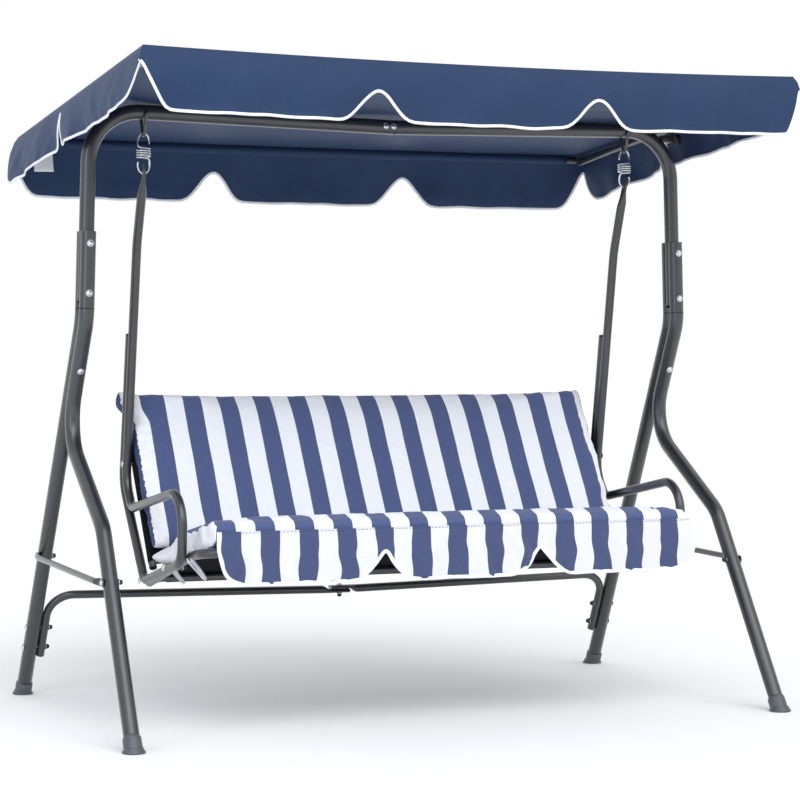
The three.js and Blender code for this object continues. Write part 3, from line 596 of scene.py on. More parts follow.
def wire(points, radius, sides):
    """Swept skin whose frame is carried along the curve, for lines that leave a plane."""
    verts = []
    side = Y.copy()
    turns = [2 * math.pi * k / sides for k in range(sides)]
    for i, p in enumerate(points):
        t = (points[min(i + 1, len(points) - 1)] - points[max(i - 1, 0)]).normalized()
        side = (side - t * side.dot(t)).normalized()
        up = t.cross(side)
        verts += [p + (side * math.cos(a) + up * math.sin(a)) * radius for a in turns]
    return verts, tube_faces(len(points), sides)


spring = wire(spring_line(), 2.4, 12)
for side, sign in SIDES:
    verts, faces = mirrored(spring, sign)
    obj = piece(f"spring_wire_{side}", placed(verts), faces, ZINC, None, [f"spring_{side}"], "zinc", 60)
    top, low = at(sign * HANG_X, 0, 1365), at(sign * HANG_X, 0, 1300)
    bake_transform(obj)

# ---------------------------------------------------------------- seat frame
SEAT_TUBE, BACK_TUBE = 11, 9.5
RAIL_X = HANG_X - 22.3
PRESS_TOP = 1240  # the hangers are pressed flat above this height
loop = [
    (-6.5, 1306), (-5.5, 1302), (-3, 1290), (2, 1275), (9, 1250), (16, 1235), (56, 1123, 200), (152, 553, 90),
    (101.5, 489.8, 35), (-302, 556.4, 72), (-296, 392, 50), (-2, 324, 38), (175.6, 546.5, 90), (115.5, 905),
]
loop_line = bent([(HANG_X, *c) for c in loop], 4)
loop_skin = rings(loop_line, SEAT_TUBE, X, 24)
for i, v in enumerate(loop_skin[0]):
    press = smooth((v.z - PRESS_TOP) / 32)
    v.x = HANG_X + (v.x - HANG_X) * (1 - 0.7 * press)
    if press:
        axis = loop_line[i // 24][0]
        rounding = 0.55 if i < 24 else 0.9 if i < 48 else 1.15
        v.y = axis.y + (v.y - axis.y) * (1 + (rounding - 1) * press)
pair("hanger_tube", loop_skin, COAT, "seat", "hanger_loop")


def plug(where, out, radius, name):
    """A domed plastic plug in an open tube end."""
    neck = [(0, -8), (radius - 1.5, -8), (radius - 1.5, 0.3)]
    dome = [(radius - 0.1, 0.3), (radius, 1.6), (radius - 1.4, 3.4), (radius * 0.5, 4.6), (0, 5)]
    skin = lathe(where, where + out, neck + dome)
    pair(name, skin, CAP_BLACK, "seat", None, "knob_plastic")


plug(Vector((HANG_X, 115.5, 905)), Vector((0, -0.165, 0.986)), SEAT_TUBE, "upright_plug")

RAIL_REAR, FRONT_BAR, SLOPE = (30, 318), (-405, 420), -0.2686


def rail_z(y):
    return RAIL_REAR[1] + SLOPE * (y - RAIL_REAR[0])


right = [(RAIL_X, *RAIL_REAR), (RAIL_X, -300, rail_z(-300), 150), (RAIL_X, *FRONT_BAR, 48)]
left = [(-c[0], *c[1:]) for c in right]


def carried(line, radius):
    """Swept skin with a carried frame, through stations."""
    return wire([p for p, t in line], radius, 24)


cross_y, cross_z = -22, rail_z(8) + 8
cross = rings([(Vector((x, cross_y, cross_z)), X) for x in (-RAIL_X + 4, RAIL_X - 4)], BACK_TUBE, Y)
seat_line = bent(left + right[::-1], 4)
verts, faces = joined(carried(seat_line, SEAT_TUBE), cross)
piece("seat_frame_tubes", placed(verts), faces, COAT, "seat", ["seat_frame"], "frame_paint")
rail_out = Vector((0, 1, SLOPE)).normalized()
plug(Vector((RAIL_X, *RAIL_REAR)), rail_out, SEAT_TUBE, "rail_plug")

BACK_FOOT, BACK_TOP = (2, 355), (230, 737)
half_loop = [BACK_FOOT, (*BACK_TOP, 45)]
back_stops = [(-RAIL_X, *stop) for stop in half_loop] + [(RAIL_X, *stop) for stop in half_loop[::-1]]
verts, faces = carried(bent(back_stops, 5), BACK_TUBE)
piece("back_frame_tube", placed(verts), faces, COAT, "seat", ["back_frame"], "frame_paint")
back_dir = Vector((0, BACK_TOP[0] - BACK_FOOT[0], BACK_TOP[1] - BACK_FOOT[1])).normalized()
plug(Vector((RAIL_X, *BACK_FOOT)), -back_dir, BACK_TUBE, "back_foot_plug")

fixings = [("rear", 4, rail_z(4), SEAT_TUBE), ("front", -190, 371, SEAT_TUBE), ("back", 145, 595, BACK_TUBE)]
for place, y, z, inner in fixings:
    ends = Vector((HANG_X + SEAT_TUBE, y, z)), Vector((RAIL_X - inner, y, z))
    bolt(*ends, f"seat_{place}_fixing", f"seat_bolt_{place}", "seat")

# ---------------------------------------------------------------- canopy frame
C_X, C_FRONT, C_REAR = 800, (-548, 1518), (562, 1410)
ROOF_SLOPE = (C_REAR[1] - C_FRONT[1]) / (C_REAR[0] - C_FRONT[0])
C_TUBE, C_TUBE_X = 9.5, 783


def roof_z(y):
    return C_FRONT[1] + (y - C_FRONT[0]) * ROOF_SLOPE


CANOPY_RAILS = (("front", C_FRONT[0] + 13.5, 9), ("rear", C_REAR[0] - 13.5, 3))  # name, y, bow
RAIL_DROP = 14  # from the roof to the middle of a rail
half = C_TUBE_X - C_TUBE - GAP
for place, y, bow in CANOPY_RAILS:
    line = []
    for k in range(25):
        x = half * (k / 12 - 1)
        line.append((Vector((x, y, roof_z(y) - RAIL_DROP - bow * (1 - (x / half) ** 2))), X))
    verts, faces = rings(line, C_TUBE, Y)
    nodes = [f"canopy_{place}_tube"]
    piece(f"canopy_{place}_rail", placed(verts), faces, COAT, "canopy", nodes, "frame_paint")
side_line = [(Vector((C_TUBE_X, y, roof_z(y) - 20)), Y) for _, y, _ in CANOPY_RAILS]
pair("canopy_side_rail", rings(side_line, C_TUBE, X), COAT, "canopy", "canopy_side_tube")

# Tilt knobs: a fluted rim round a domed middle
KNOB_SIDES, SHANK_FROM = 48, 750.5
knob_from, knob_to = 774.8 + 4 + GAP, 796.4
thick, shank = knob_to - knob_from, knob_from - SHANK_FROM


def knob():
    rim = [(13.2, 3), (14, 6), (14, thick - 4), (12.8, thick - 1)]
    verts = []
    for r, h in [(5, 0), (10, 0), *rim, (10, thick), (0.01, thick)]:
        for k in range(KNOB_SIDES):
            a = 2 * math.pi * k / KNOB_SIDES
            flute = 1 - 0.07 * (0.5 + 0.5 * math.cos(8 * a)) if r > 12 else 1
            verts.append(Vector((knob_from + h, r * flute * math.cos(a), LUG_Z + r * flute * math.sin(a))))
    return verts, tube_faces(len(verts) // KNOB_SIDES, KNOB_SIDES)


shank_ends = Vector((SHANK_FROM, 0, LUG_Z)), Vector((knob_from, 0, LUG_Z))
knob_skin = joined(knob(), lathe(*shank_ends, [(0, 0), (3.4, 0), (4, 0.8), (4, shank), (0, shank)]))
for side, sign in SIDES:
    verts, faces = mirrored(knob_skin, sign)
    nodes = [f"tilt_knob_{side}"]
    piece(f"tilt_grip_{side}", placed(verts), faces, CAP_BLACK, f"knob_{side}", nodes, "knob_plastic", 40)

# ---------------------------------------------------------------- canopy cloth
VALANCE = {"front": 136, "rear": 145, "side": 106}
NOTCH_X, NOTCH_Y = 270, 105
CORNER_DEPTH = {-1: 34, 1: 42}


def clustered(low, high, marks, coarse, fine):
    """Grid lines from low to high, closer together near the marks."""
    stops = [low]
    while stops[-1] < high - fine:
        gap = min(abs(stops[-1] - m) for m in marks)
        stops.append(min(high, stops[-1] + fine + (coarse - fine) * smooth((gap - 20) / 70)))
    stops[-1] = high
    return stops


def mirrored_stops(stops):
    return sorted({round(-s, 4) for s in stops} | {round(s, 4) for s in stops})


xs = mirrored_stops(clustered(0, C_X, (NOTCH_X, C_X), 14, 3))
ys = clustered(C_FRONT[0], C_REAR[0], (C_FRONT[0], NOTCH_Y, C_REAR[0]), 14, 3)


def hem_depth(where, s, end):
    """Depth of the valance at s along one side; end is -1 at the front, 1 at the rear."""
    if where == "side":
        full = VALANCE["side"] + 22 * max(0, (s - NOTCH_Y) / (C_REAR[0] - NOTCH_Y))
        notch = abs(s - NOTCH_Y) / 48
        corner_at = min((s - C_FRONT[0]) / 165, (C_REAR[0] - s) / 66)
        corner = CORNER_DEPTH[-1 if s < NOTCH_Y else 1]
        mid = 14 + (full - 14) * (1 - (1 - min(1, notch)) ** 2.6)
    else:
        full = VALANCE[where]
        notch, corner_at = abs(abs(s) - NOTCH_X) / 84, (C_X - abs(s)) / (32 if end < 0 < s else 56)
        corner = CORNER_DEPTH[end]
        mid = 70 + (full - 70) * smooth(notch)
    corner_at = min(1, max(0, corner_at))
    curve = 1 - (1 - corner_at) ** 2.6 if where == "side" else smooth(corner_at)
    ends = corner + (full - corner) * curve
    ripple = 3.5 * noise.noise(Vector((s / 70, end * 3.0, 8.0)))
    return min(mid, ends) + ripple * smooth((min(mid, ends) - 60) / 50)


def wrinkle(p, scale, seed):
    return noise.noise(Vector((p.x / scale, p.y / scale, p.z / scale + seed)))


def roof_point(x, y):
    v = (y - C_FRONT[0]) / (C_REAR[0] - C_FRONT[0])
    u = abs(x) / C_X
    sag = 17 * math.sin(math.pi * v) * (1 - u**4) * (1 - 0.25 * math.cos(2 * math.pi * v))
    sag += 10 * (1 - u * u) * max(0, 1 - v * 3) + 3 * (1 - u * u) * max(0, v * 3 - 2)
    p = Vector((x, y, roof_z(y) - sag))
    inside = min(1, (C_X - abs(x)) / 60, (y - C_FRONT[0]) / 50, (C_REAR[0] - y) / 50)
    p.z += 2.2 * inside * wrinkle(p, 150, 3) + 0.8 * inside * wrinkle(Vector((p.x, p.y * 3, 0)), 60, 9)
    return p


ROWS = 18


def valance_point(where, s, end, row):
    """A point of a hanging valance: end is the side's sign, row runs from 1 to ROWS."""
    depth = hem_depth(where, s, end) * row / ROWS
    belly = 15 * (0.75 + wrinkle(Vector((s, 0, 0)), 210, 33 + end)) if where == "front" else 6
    lean = smooth(depth / 14) * 3.2 + belly * math.sin(math.pi * min(1, depth / 125))
    if where == "side":
        base = roof_point(end * C_X, s)
        share = (s - C_FRONT[0]) / (C_REAR[0] - C_FRONT[0])
        flare = depth * (0.05 + 0.14 * share**2)
        near = 1 - smooth(min(s - C_FRONT[0], C_REAR[0] - s) / 70)
        across = -1 if s < 0 else 1
        cross_flare = depth * (0.27 if across > 0 else 0.09)
        out, along = Vector((end, 0, 0)), Vector((0, across, 0))
    else:
        base = roof_point(s, C_FRONT[0] if end < 0 else C_REAR[0])
        flare = depth * (0.27 if end > 0 else 0.09)
        near = 1 - smooth((C_X - abs(s)) / 70)
        cross_flare = depth * (0.19 if end > 0 else 0.05)
        out, along = Vector((0, end, 0)), Vector((1 if s > 0 else -1, 0, 0))
    p = base - Z * depth
    amount = (depth / 136) ** 1.3 * (1 - near)
    slant = s + 0.55 * depth
    folds = 17 * wrinkle(Vector((slant, depth * 0.3, 0)), 120, 20 + 7 * end)
    folds += 5 * wrinkle(Vector((s - 0.8 * depth, depth * 0.4, 0)), 55, 40 + 5 * end)
    folds += 5 * abs(wrinkle(Vector((slant, depth * 0.2, 0)), 60, 71))
    if where == "side":
        folds *= 1.7
    fold_room = max(folds * amount, -2.5 - 9 * smooth((depth - 35) / 60))
    return p + out * (lean + flare + fold_room) + along * near * (lean + cross_flare)


bm = bmesh.new()
grid = {(i, j): bm.verts.new(at(*roof_point(x, y))) for i, x in enumerate(xs) for j, y in enumerate(ys)}
for i in range(len(xs) - 1):
    for j in range(len(ys) - 1):
        bm.faces.new((grid[i, j], grid[i + 1, j], grid[i + 1, j + 1], grid[i, j + 1]))
last_x, last_y = len(xs) - 1, len(ys) - 1
borders = [
    ("front", -1, [(x, grid[i, 0]) for i, x in enumerate(xs)]),
    ("side", 1, [(y, grid[last_x, j]) for j, y in enumerate(ys)]),
    ("rear", 1, [(x, grid[i, last_y]) for i, x in enumerate(xs)][::-1]),
    ("side", -1, [(y, grid[0, j]) for j, y in enumerate(ys)][::-1]),
]
hem = []
for where, end, border in borders:
    columns = []
    for s, top in border:
        column = [top] + [bm.verts.new(at(*valance_point(where, s, end, r))) for r in range(1, ROWS + 1)]
        columns.append(column)
        out = Vector((end, 0, 0)) if where == "side" else Vector((0, end, 0))
        fall = (column[-1].co - column[-2].co).normalized()
        hem.append((column[-1].co.copy(), (out - fall * out.dot(fall)).normalized()))
    for a, b in zip(columns, columns[1:]):
        for r in range(ROWS):
            bm.faces.new((b[r], a[r], a[r + 1], b[r + 1]))
bmesh.ops.remove_doubles(bm, verts=bm.verts[:], dist=2e-5)
bmesh.ops.recalc_face_normals(bm, faces=bm.faces[:])
canopy_area = sum(f.calc_area() for f in bm.faces)
verts = [v.co.copy() for v in bm.verts]
bm.verts.index_update()
faces = [tuple(v.index for v in f.verts) for f in bm.faces]
bm.free()
canopy = piece("canopy_sheet", verts, faces, NAVY, "canopy", ["canopy_cloth"], "canopy_cloth", 180)
thicken(canopy, 0.0012, 0)


def tape(points, normals, half_width, half_thick, closed=False, sides=10):
    """A flat tape along points (metres) that lies against the surface with those normals."""
    verts = []
    count = len(points)
    for i, p in enumerate(points):
        before = points[(i - 1) % count if closed else max(i - 1, 0)]
        after = points[(i + 1) % count if closed else min(i + 1, count - 1)]
        t = (after - before).normalized()
        n = (normals[i] - t * t.dot(normals[i])).normalized()
        w = n.cross(t)
        for k in range(sides):
            a = 2 * math.pi * k / sides
            flat = math.copysign(abs(math.cos(a)) ** 0.6, math.cos(a))
            verts.append(p + w * half_width * flat + n * half_thick * math.sin(a))
    return verts, tube_faces(count, sides, closed)


hem_points, hem_normals = [], []
for p, n in hem:
    if hem_points and (p - hem_points[-1]).length < 5e-4:
        hem_normals[-1] = (hem_normals[-1] + n).normalized()
        continue
    hem_points.append(p)
    hem_normals.append(n)
binding = tape(eased(hem_points, 1, closed=True), hem_normals, 0.0035, 0.0019, True)
canopy_binding = piece("canopy_binding", *binding, BINDING, "canopy", (), "canopy_cloth", 60)


def stitches(name, points, normals, body, material, pitch=0.009, length=0.0055, radius=0.0006):
    """A row of short stitches along a line of points."""
    skins = []
    turns = [math.pi * k / 2 for k in range(4)]
    travelled, following = 0.0, 0.0
    for i in range(1, len(points)):
        step = (points[i] - points[i - 1]).length
        while following < travelled + step and step > 0:
            share = (following - travelled) / step
            p = points[i - 1].lerp(points[i], share)
            t = (points[i] - points[i - 1]).normalized()
            n = normals[i - 1].lerp(normals[i], share).normalized()
            w = n.cross(t)
            ring = []
            for s, r in ((-0.5, 0.35), (-0.25, 1), (0.25, 1), (0.5, 0.35)):
                centre = p + t * length * s + n * (radius * (r - 0.5))
                ring += [centre + (w * math.cos(a) + n * math.sin(a)) * radius * r for a in turns]
            skins.append((ring, tube_faces(4, 4)))
            following += pitch
        travelled += step
    return piece(name, *joined(*skins), material, body, (), "pad_cloth", 60)


def sleeve(name, y, bow):
    """Cloth sleeve round a canopy rail, sewn up to the roof."""
    verts = []
    sides, steps, half = 20, 60, 742
    for i in range(steps + 1):
        x = half * (2 * i / steps - 1)
        z = roof_z(y) - RAIL_DROP - bow * (1 - (x / 773) ** 2)
        for k in range(sides):
            a = 2 * math.pi * k / sides
            r = 10.6 + 0.5 * wrinkle(Vector((x, 40 * math.cos(a), 40 * math.sin(a))), 25, 5)
            peak = 3.0 * max(0, math.sin(a)) ** 8
            verts.append(Vector((x, y + r * math.cos(a), z + r * math.sin(a) + peak)))
    faces = [(b, a, d, c) for a, b, c, d in tube_faces(steps + 1, sides)[:-2]]
    obj = piece(name, placed(verts), faces, NAVY, "canopy", (), "canopy_cloth", 60)
    thicken(obj, 0.0008)
    return obj


sleeves = [sleeve(f"{place}_sleeve", y, bow) for place, y, bow in CANOPY_RAILS]

# A blank care tag sewn inside the rear valance
TAG_X, TAG_TOP, TAG_WIDE, TAG_LONG = -762, 1388, 50, 62
tag_verts = []
for i in range(9):
    for j in range(9):
        u, v = i / 8, j / 8
        drop = C_REAR[1] - TAG_TOP + TAG_LONG * v
        curl = 4 * math.sin(2 + u * 4) * v
        y = C_REAR[0] + 0.27 * drop - 6 - 5 * v + curl
        tag_verts.append(Vector((TAG_X + TAG_WIDE * u + 7 * v, y, C_REAR[1] - drop)))
tag = piece("care_tag", placed(tag_verts), sheet_faces(9, 9), BINDING, "canopy", (), "canopy_cloth", 180)
thicken(tag, 0.0006)

# ---------------------------------------------------------------- slings
CROSS = Vector((0, cross_y, cross_z))
FRONT = Vector((0, *FRONT_BAR))
seat_dir = (FRONT - CROSS).normalized()
seat_up = Vector((0, seat_dir.z, -seat_dir.y))
SLING_HALF = 590


def half_turn(middle, start, side, radius, steps, first=0):
    """Path stops that run half round a tube, from start over side."""
    angles = [math.radians(180 * k / steps) for k in range(first, steps + 1)]
    return [(middle + (start * math.cos(a) + side * math.sin(a)) * radius, 0) for a in angles]


def sheet_along(name, path, half, steps, nodes, thickness=0.0016, ripple=1.2):
    """A sheet that follows a path in the YZ plane and runs straight across in X."""
    verts = []
    for i in range(steps + 1):
        x = half * (2 * i / steps - 1)
        for j, (p, sag) in enumerate(path):
            q = Vector((x, p.y, p.z))
            give = sag * (1 - (x / half) ** 4)
            q += Vector((0, 0, -give)) + Vector((0, 0, ripple * min(1, sag) * wrinkle(q, 70, 11)))
            verts.append(q)
    faces = sheet_faces(steps + 1, len(path))
    obj = piece(name, placed(verts), faces, SLING, "seat", nodes, "sling_cloth", 60)
    thicken(obj, thickness)
    return obj


round_cross, round_front = BACK_TUBE + 1.4, SEAT_TUBE + 1.4
path = half_turn(CROSS, -seat_up, -seat_dir, round_cross, 8)
length = (FRONT - CROSS).length
for k in range(1, 32):
    s = k / 32
    lift = round_cross * (1 - s) + round_front * s
    path.append((CROSS + seat_dir * length * s + seat_up * lift, 1.5 * math.sin(math.pi * s)))
path += half_turn(FRONT, seat_up, seat_dir, round_front, 8)
seat_sling = sheet_along("seat_sling_sheet", path, SLING_HALF, 60, ["seat_sling"])

back_up = Vector((0, -back_dir.z, back_dir.y))
back_length = (Vector((0, *BACK_TOP)) - Vector((0, *BACK_FOOT))).length
wrap = BACK_TUBE + 1.1
turns = [math.radians(15 * k) for k in range(13)]
fold = [(RAIL_X - 26, -1.0)] + [(RAIL_X + wrap * math.sin(a) * 0.98, -math.cos(a)) for a in turns]
across = [(-x, n) for x, n in fold]
across += [(-RAIL_X + 2 * RAIL_X * k / 60, 1.0) for k in range(1, 60)]
across += fold[::-1]
verts = []
ROWS_BACK = 40
for j in range(ROWS_BACK + 1):
    s = 14 + (back_length - 62) * j / ROWS_BACK
    base = Vector((0, *BACK_FOOT)) + back_dir * s
    for x, n in across:
        p = base + back_up * (n * wrap) + X * x
        free = 1 - (x / RAIL_X) ** 4 if abs(x) < RAIL_X and n > 0 else 0
        p -= back_up * 1.5 * max(0, free) * math.sin(math.pi * j / ROWS_BACK)
        p += back_up * 0.9 * wrinkle(Vector((x, s, 0)), 55, 17) * (1 if free > 0 else 0.3)
        verts.append(p)
faces = sheet_faces(ROWS_BACK + 1, len(across))
back_sling = piece("back_sling_sheet", placed(verts), faces, SLING, "seat", ["back_sling"], "sling_cloth", 60)
thicken(back_sling, 0.0012)
TOP = Vector((0, *BACK_TOP))
top_path = [(TOP - back_dir * (50 - 50 * k / 8) + back_up * wrap, 0) for k in range(9)]
top_path += half_turn(TOP, back_up, back_dir, wrap, 11, 1)
top_path.append((TOP - back_dir * 22 - back_up * wrap, 0))
back_sleeve = sheet_along("back_sling_sleeve", top_path, 566, 50, (), ripple=0, thickness=0.0012)


# ---------------------------------------------------------------- cushions
OUTLINE_STEP, VOXEL, FRAMES = 8, 0.0075, 20


def smooth_outline(corners):
    """Closed (y, z) outline resampled evenly and softened."""
    stops = [Vector((y, z)) for y, z in corners]
    out = []
    for a, b in zip(stops, stops[1:] + stops[:1]):
        n = max(1, round((b - a).length / OUTLINE_STEP))
        out += [a.lerp(b, k / n) for k in range(n)]
    return eased(out, 3, closed=True)


def stuffed(name, corners, x0, x1, shift, pinned, gusset, nodes, cap):
    """A closed cushion along X, blown up as cloth with its seams held still."""
    outline = smooth_outline(corners)
    steps = 24
    verts = []
    for i in range(steps + 1):
        x = x0 + (x1 - x0) * i / steps
        verts += [at(x, p.x, p.y) for p in outline]
    mesh = bpy.data.meshes.new(name)
    mesh.from_pydata([tuple(v) for v in verts], [], tube_faces(steps + 1, len(outline)))
    bm = bmesh.new()
    bm.from_mesh(mesh)
    bmesh.ops.recalc_face_normals(bm, faces=bm.faces[:])
    bm.to_mesh(mesh)
    bm.free()
    obj = added(name, mesh)
    bpy.context.view_layer.objects.active = obj
    remesh = obj.modifiers.new("remesh", "REMESH")
    remesh.mode = "VOXEL"
    remesh.voxel_size = VOXEL
    bpy.ops.object.modifier_apply(modifier=remesh.name)
    for m in (STRIPES, gusset):
        obj.data.materials.append(m)
    for poly in obj.data.polygons:
        end = min(abs(poly.center.x * 1000 - x) for x in (x0, x1))
        poly.material_index = int(end < 900 * VOXEL and abs(poly.normal.x) > 0.7)
    place = obj.data.attributes.new("cut_place", "FLOAT_VECTOR", "POINT")
    for v in obj.data.vertices:
        place.data[v.index].vector = v.co + X * shift
    before = [v.co.copy() for v in obj.data.vertices]
    group = obj.vertex_groups.new(name="held")
    for v in obj.data.vertices:
        weight = pinned(*drawn(v.co))
        if weight > 0:
            group.add([v.index], weight, "REPLACE")
    cloth_mod = obj.modifiers.new("cloth", "CLOTH")
    settings = cloth_mod.settings
    settings.quality = 6
    settings.mass = 0.25
    settings.tension_stiffness = settings.compression_stiffness = 12
    settings.shear_stiffness = 4
    settings.bending_stiffness = 0.25
    settings.use_pressure = True
    settings.uniform_pressure_force = 4.0
    settings.shrink_min = -0.02
    settings.vertex_group_mass = "held"
    settings.effector_weights.gravity = 0
    cloth_mod.point_cache.frame_start = 1
    cloth_mod.point_cache.frame_end = FRAMES
    for f in range(1, FRAMES + 1):
        scene.frame_set(f)
    bpy.ops.object.modifier_apply(modifier=cloth_mod.name)
    scene.frame_set(1)
    for v, old in zip(obj.data.vertices, before):
        move = v.co - old
        if move.length > cap:
            v.co = old + move * (cap / move.length)
    obj.vertex_groups.clear()
    obj.data.shade_smooth()
    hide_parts(*nodes)
    return obj


def finish_cushion(obj, ends, warp=None):
    """Soft unevenness, crumpled ends, one subdivision."""
    mesh = obj.data
    normals = [v.normal.copy() for v in mesh.vertices]
    for v, n in zip(mesh.vertices, normals):
        x, y, z = drawn(v.co)
        near = max(smooth(1 - abs(x - e) / 45) for e in ends)
        p = Vector((x, y, z))
        soft = 1.6 * wrinkle(p, 90, 31) + 0.7 * wrinkle(p, 30, 37)
        crumple = near * (7 * wrinkle(p, 38, 43) + 4 * abs(wrinkle(p, 17, 47)))
        v.co += n * ((soft + crumple - 1.0 * near) / 1000)
        if warp:
            v.co = warp(v.co)
    fine = obj.modifiers.new("fine surface", "SUBSURF")
    fine.levels = fine.render_levels = 1
    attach(obj, "seat")


SEAT_X = (-596, 594)
seat_outline = [
    (-34, 353), (-215, 394), (-396, 436), (-409, 443), (-414, 454), (-415, 466), (-412, 480), (-403, 489),
    (-390, 489), (-300, 470), (-200, 452), (-110, 436), (-52, 424), (-34, 410), (-30, 376),
]


def seat_held(x, y, z):
    under = 332 + 0.23 * (-22 - y) + 15
    if z < under + 9:
        return 1
    if abs(y + 402) < 9 and z > 482:
        return 0.9
    if y < -408 and abs(z - 466) < 6:
        return 1
    end = min(x - SEAT_X[0], SEAT_X[1] - x)
    on_edge = z > under + 38 or y < -400 or y > -48
    return 0.9 if end < 7 and on_edge else 0


def tongue(co):
    """The gusset's slack is drawn out at the rear corners."""
    x, y, z = drawn(co)
    for end, way, reach in ((SEAT_X[0], -1, 33), (SEAT_X[1], 1, 8)):
        near = smooth(1 - abs(x - end) / 40) * smooth((y + 130) / 60)
        pinch = near * smooth(1 - abs(z - 384) / 40)
        co.x += way * pinch * (reach + 7 * wrinkle(Vector((0, y, z)), 11, 83)) / 1000
        co.z += near * (384 - z) * 0.35 / 1000
    return co


seat_cushion = stuffed("seat_cushion", seat_outline, *SEAT_X, 0.014, seat_held, WHITE, ["seat_pad"], 0.013)
finish_cushion(seat_cushion, SEAT_X, tongue)

BACK_X = (-621, 606)


def back_front(z):
    return 178 - 0.62 * (744 - z)


def back_rear(z):
    return -13.5 + 0.597 * (z - 355)


back_outline = [(back_front(z), z) for z in (412, 500, 600, 700, 735)]
back_outline += [(182, 752), (192, 765), (206, 770), (217, 763), (215, 748)]
back_outline += [(back_rear(z), z) for z in (735, 640, 540, 440, 412)]
back_outline += [(6, 402), (-14, 400)]


def back_held(x, y, z):
    if y > back_rear(z) - 8:
        return 1
    end = min(x - BACK_X[0], BACK_X[1] - x)
    if end < 7 and (y < back_front(z) + 12):
        return 0.9
    return 1 if z < 408 else 0


def peek(co):
    """The top left corner spreads past the upright."""
    x, _, z = drawn(co)
    if x < -540:
        co.x -= 0.024 * smooth((z - 690) / 45) * smooth((-x - 540) / 70)
    return co


back_cushion = stuffed("back_cushion", back_outline, *BACK_X, 0, back_held, DYED, ["back_pad"], 0.012)
finish_cushion(back_cushion, BACK_X, peek)

# ---------------------------------------------------------------- skirt
SKIRT_X, SKIRT_TOP, SKIRT_Y, SKIRT_DROP, SKIRT_NOTCH = (-592, 598), 467, -422, 118, 200


def skirt_depth(x):
    aside = abs(abs(x) - SKIRT_NOTCH) / 66
    rise = min(1, math.sqrt(aside * aside + 0.012) - 0.1)
    notch = 52 + (SKIRT_DROP - 52) * (1 - (1 - rise) ** 1.7)
    t = min(1, min(x - SKIRT_X[0], SKIRT_X[1] - x) / 62)
    end = 62 + (SKIRT_DROP - 62) * math.sqrt(max(0, 1 - (1 - t) ** 2))
    return min(notch, end)


def skirt_cut(x):
    """The skirt is cut from a slightly drawn-in piece, so its stripes run ahead of the pad's."""
    return (x + 5 + 0.0166 * (x - SKIRT_X[0])) / 1000


def skirt_point(x, share):
    depth = skirt_depth(x) * share
    hang = smooth(depth / 70)
    swing = 10 * wrinkle(Vector((x, depth * 0.25, 0)), 66, 53)
    swing += 5 * wrinkle(Vector((x - 0.4 * depth, 0, 0)), 27, 59)
    slide = 15 * wrinkle(Vector((x * 0.7, depth, 0)), 58, 61) * hang
    curl = smooth(1 - min(x - SKIRT_X[0], SKIRT_X[1] - x) / 50)
    y = SKIRT_Y - 1.5 - min(2.2, depth / 4) - hang * (4 + max(-4, swing) + 4 * curl)
    return Vector((x + slide, y, SKIRT_TOP - depth + 2 * hang * wrinkle(Vector((x, 0, 0)), 45, 67)))


skirt_xs = clustered(SKIRT_X[0], SKIRT_X[1], (SKIRT_X[0], -SKIRT_NOTCH, SKIRT_NOTCH, SKIRT_X[1]), 8, 3)
SKIRT_ROWS = 16
stops = [(x, row / SKIRT_ROWS) for x in skirt_xs for row in range(SKIRT_ROWS + 1)]
verts = [skirt_point(x, share) for x, share in stops]
faces = sheet_faces(len(skirt_xs), SKIRT_ROWS + 1)
skirt = piece("skirt_cloth", placed(verts), faces, SKIRT_STRIPES_PAINTED_SHADE, "seat", ["skirt"], "pad_cloth", 180)
cut_place = skirt.data.attributes.new("cut_place", "FLOAT_VECTOR", "POINT")
for i, (x, share) in enumerate(stops):
    cut_place.data[i].vector = (skirt_cut(x), 0, -share * skirt_depth(x) / 1000)
thicken(skirt, 0.0012, 0)
edge = [at(*skirt_point(SKIRT_X[0], r / 6)) for r in range(6)]
edge += [at(*skirt_point(x, 1)) for x in skirt_xs]
edge += [at(*skirt_point(SKIRT_X[1], 1 - r / 6)) for r in range(1, 7)]
binding = tape(eased(edge, 2), [-Y] * len(edge), 0.0045, 0.0014)
skirt_tape = piece("skirt_binding", *binding, BINDING, "seat", (), "pad_cloth", 60)
seam_line = [at(*(skirt_point(x, 0.03) + Vector((0, -0.8, 0)))) for x in skirt_xs[::3]]
skirt_stitch = stitches("skirt_seam_stitches", seam_line, [-Y] * len(seam_line), "seat", DYED)

# Ties that hold the cushion to the rails
tie_parts = []
for side, sign in SIDES:
    for n, y in enumerate((-176, -190, -296, -316)):
        z = rail_z(y)
        r = SEAT_TUBE + 1.2
        points, facing = [], []
        for k in range(11):
            a = math.radians(120 - 260 * k / 10)
            out = X * -math.cos(a) + Z * math.sin(a)
            points.append(Vector((RAIL_X, y, z)) + out * r)
            facing.append(out)
        start = points[-1].copy()
        for k in range(1, 11):
            t = k / 10
            sway = (10 if n % 2 else -14) * t * t + 5 * math.sin(3 * t + n)
            points.append(start + Vector((-(22 + 6 * n) * t, sway, -(30 + 7 * n) * t)))
            facing.append(Vector((-0.4, -0.9, 0.2)))
        line = [at(sign * p.x, p.y, p.z) for p in points]
        facing = [Vector((sign * f.x, f.y, f.z)) for f in facing]
        tie_parts.append(tape(line, facing, 0.0045, 0.0006, False, 8))
for n, part in enumerate(tie_parts):
    piece(f"cushion_tie_{n + 1}", *part, WHITE, "seat", (), "pad_cloth", 60)

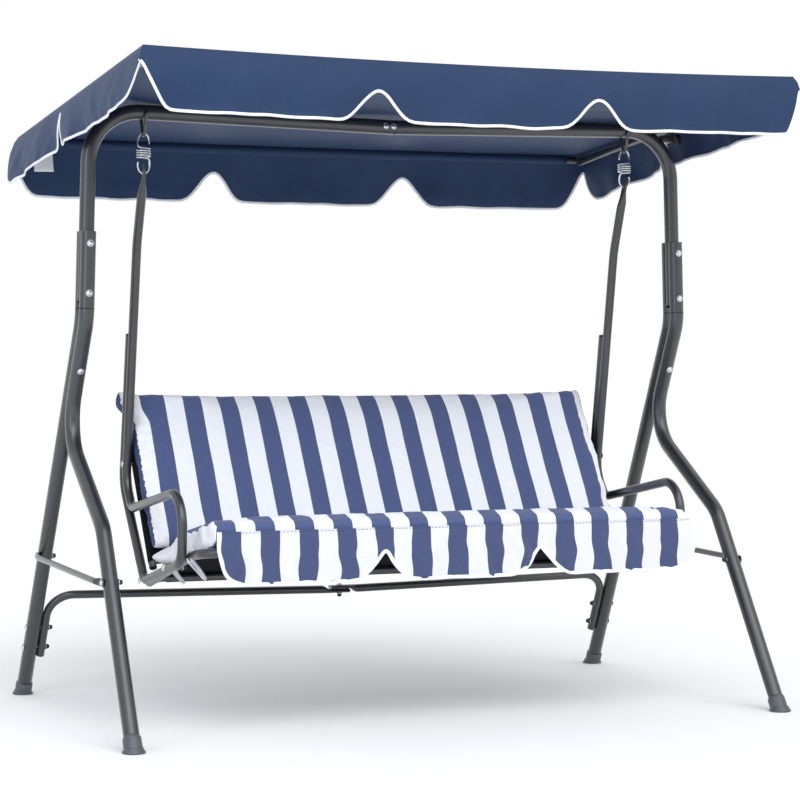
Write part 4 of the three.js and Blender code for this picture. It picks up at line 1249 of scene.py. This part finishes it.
# ---------------------------------------------------------------- studio
floor_mesh = bpy.data.meshes.new("floor")
floor_mesh.from_pydata([(-60, -60, 0), (60, -60, 0), (60, 60, 0), (-60, 60, 0)], [], [(0, 1, 2, 3)])
floor = added("floor", floor_mesh)
pale = Nodes("pale floor")
pale.link(pale.mix(pale.noise(2), rgb(0.95, 0.95, 0.95), rgb(0.97, 0.97, 0.97)), "Base Color")
pale.set({"Roughness": 0.9})
floor_mesh.materials.append(pale.material)

world = bpy.data.worlds.new("studio")
world.use_nodes = True
nodes, links = world.node_tree.nodes, world.node_tree.links
background = nodes["Background"]
background.inputs["Color"].default_value = (0.96, 0.98, 1, 1)
background.inputs["Strength"].default_value = 0.84
seen = nodes.new("ShaderNodeBackground")
seen.inputs["Color"].default_value = (1, 1, 1, 1)
rays = nodes.new("ShaderNodeLightPath")
either = nodes.new("ShaderNodeMixShader")
links.new(rays.outputs["Is Camera Ray"], either.inputs[0])
links.new(background.outputs[0], either.inputs[1])
links.new(seen.outputs[0], either.inputs[2])
links.new(either.outputs[0], nodes["World Output"].inputs["Surface"])
scene.world = world

sun = bpy.data.lights.new("overhead softlight", "SUN")
sun.energy = 1.25
sun.angle = math.radians(50)
sun_object = added("overhead softlight", sun)
sun_object.rotation_euler = (math.radians(46), 0, math.radians(6))


def softbox(name, place, aim, size, power, color):
    light = bpy.data.lights.new(name, "AREA")
    light.shape = "RECTANGLE"
    light.size, light.size_y = size
    light.energy = power
    light.color = color
    obj = added(name, light)
    obj.location = place
    obj.rotation_mode = "QUATERNION"
    obj.rotation_quaternion = (Vector(aim) - Vector(place)).to_track_quat("-Z", "Y")


softbox("key", (-2.4, -4.6, 4.4), (0, 0, 0.6), (3.2, 2.4), 50, (0.84, 0.92, 1))
softbox("fill", (4.2, -4.0, 2.4), (0, 0, 0.8), (2.4, 2.4), 14, (0.84, 0.92, 1))
softbox("side strip", (-4.2, -2.8, 1.8), (0, 0, 0.5), (1.4, 2.8), 38, (0.62, 0.82, 1))
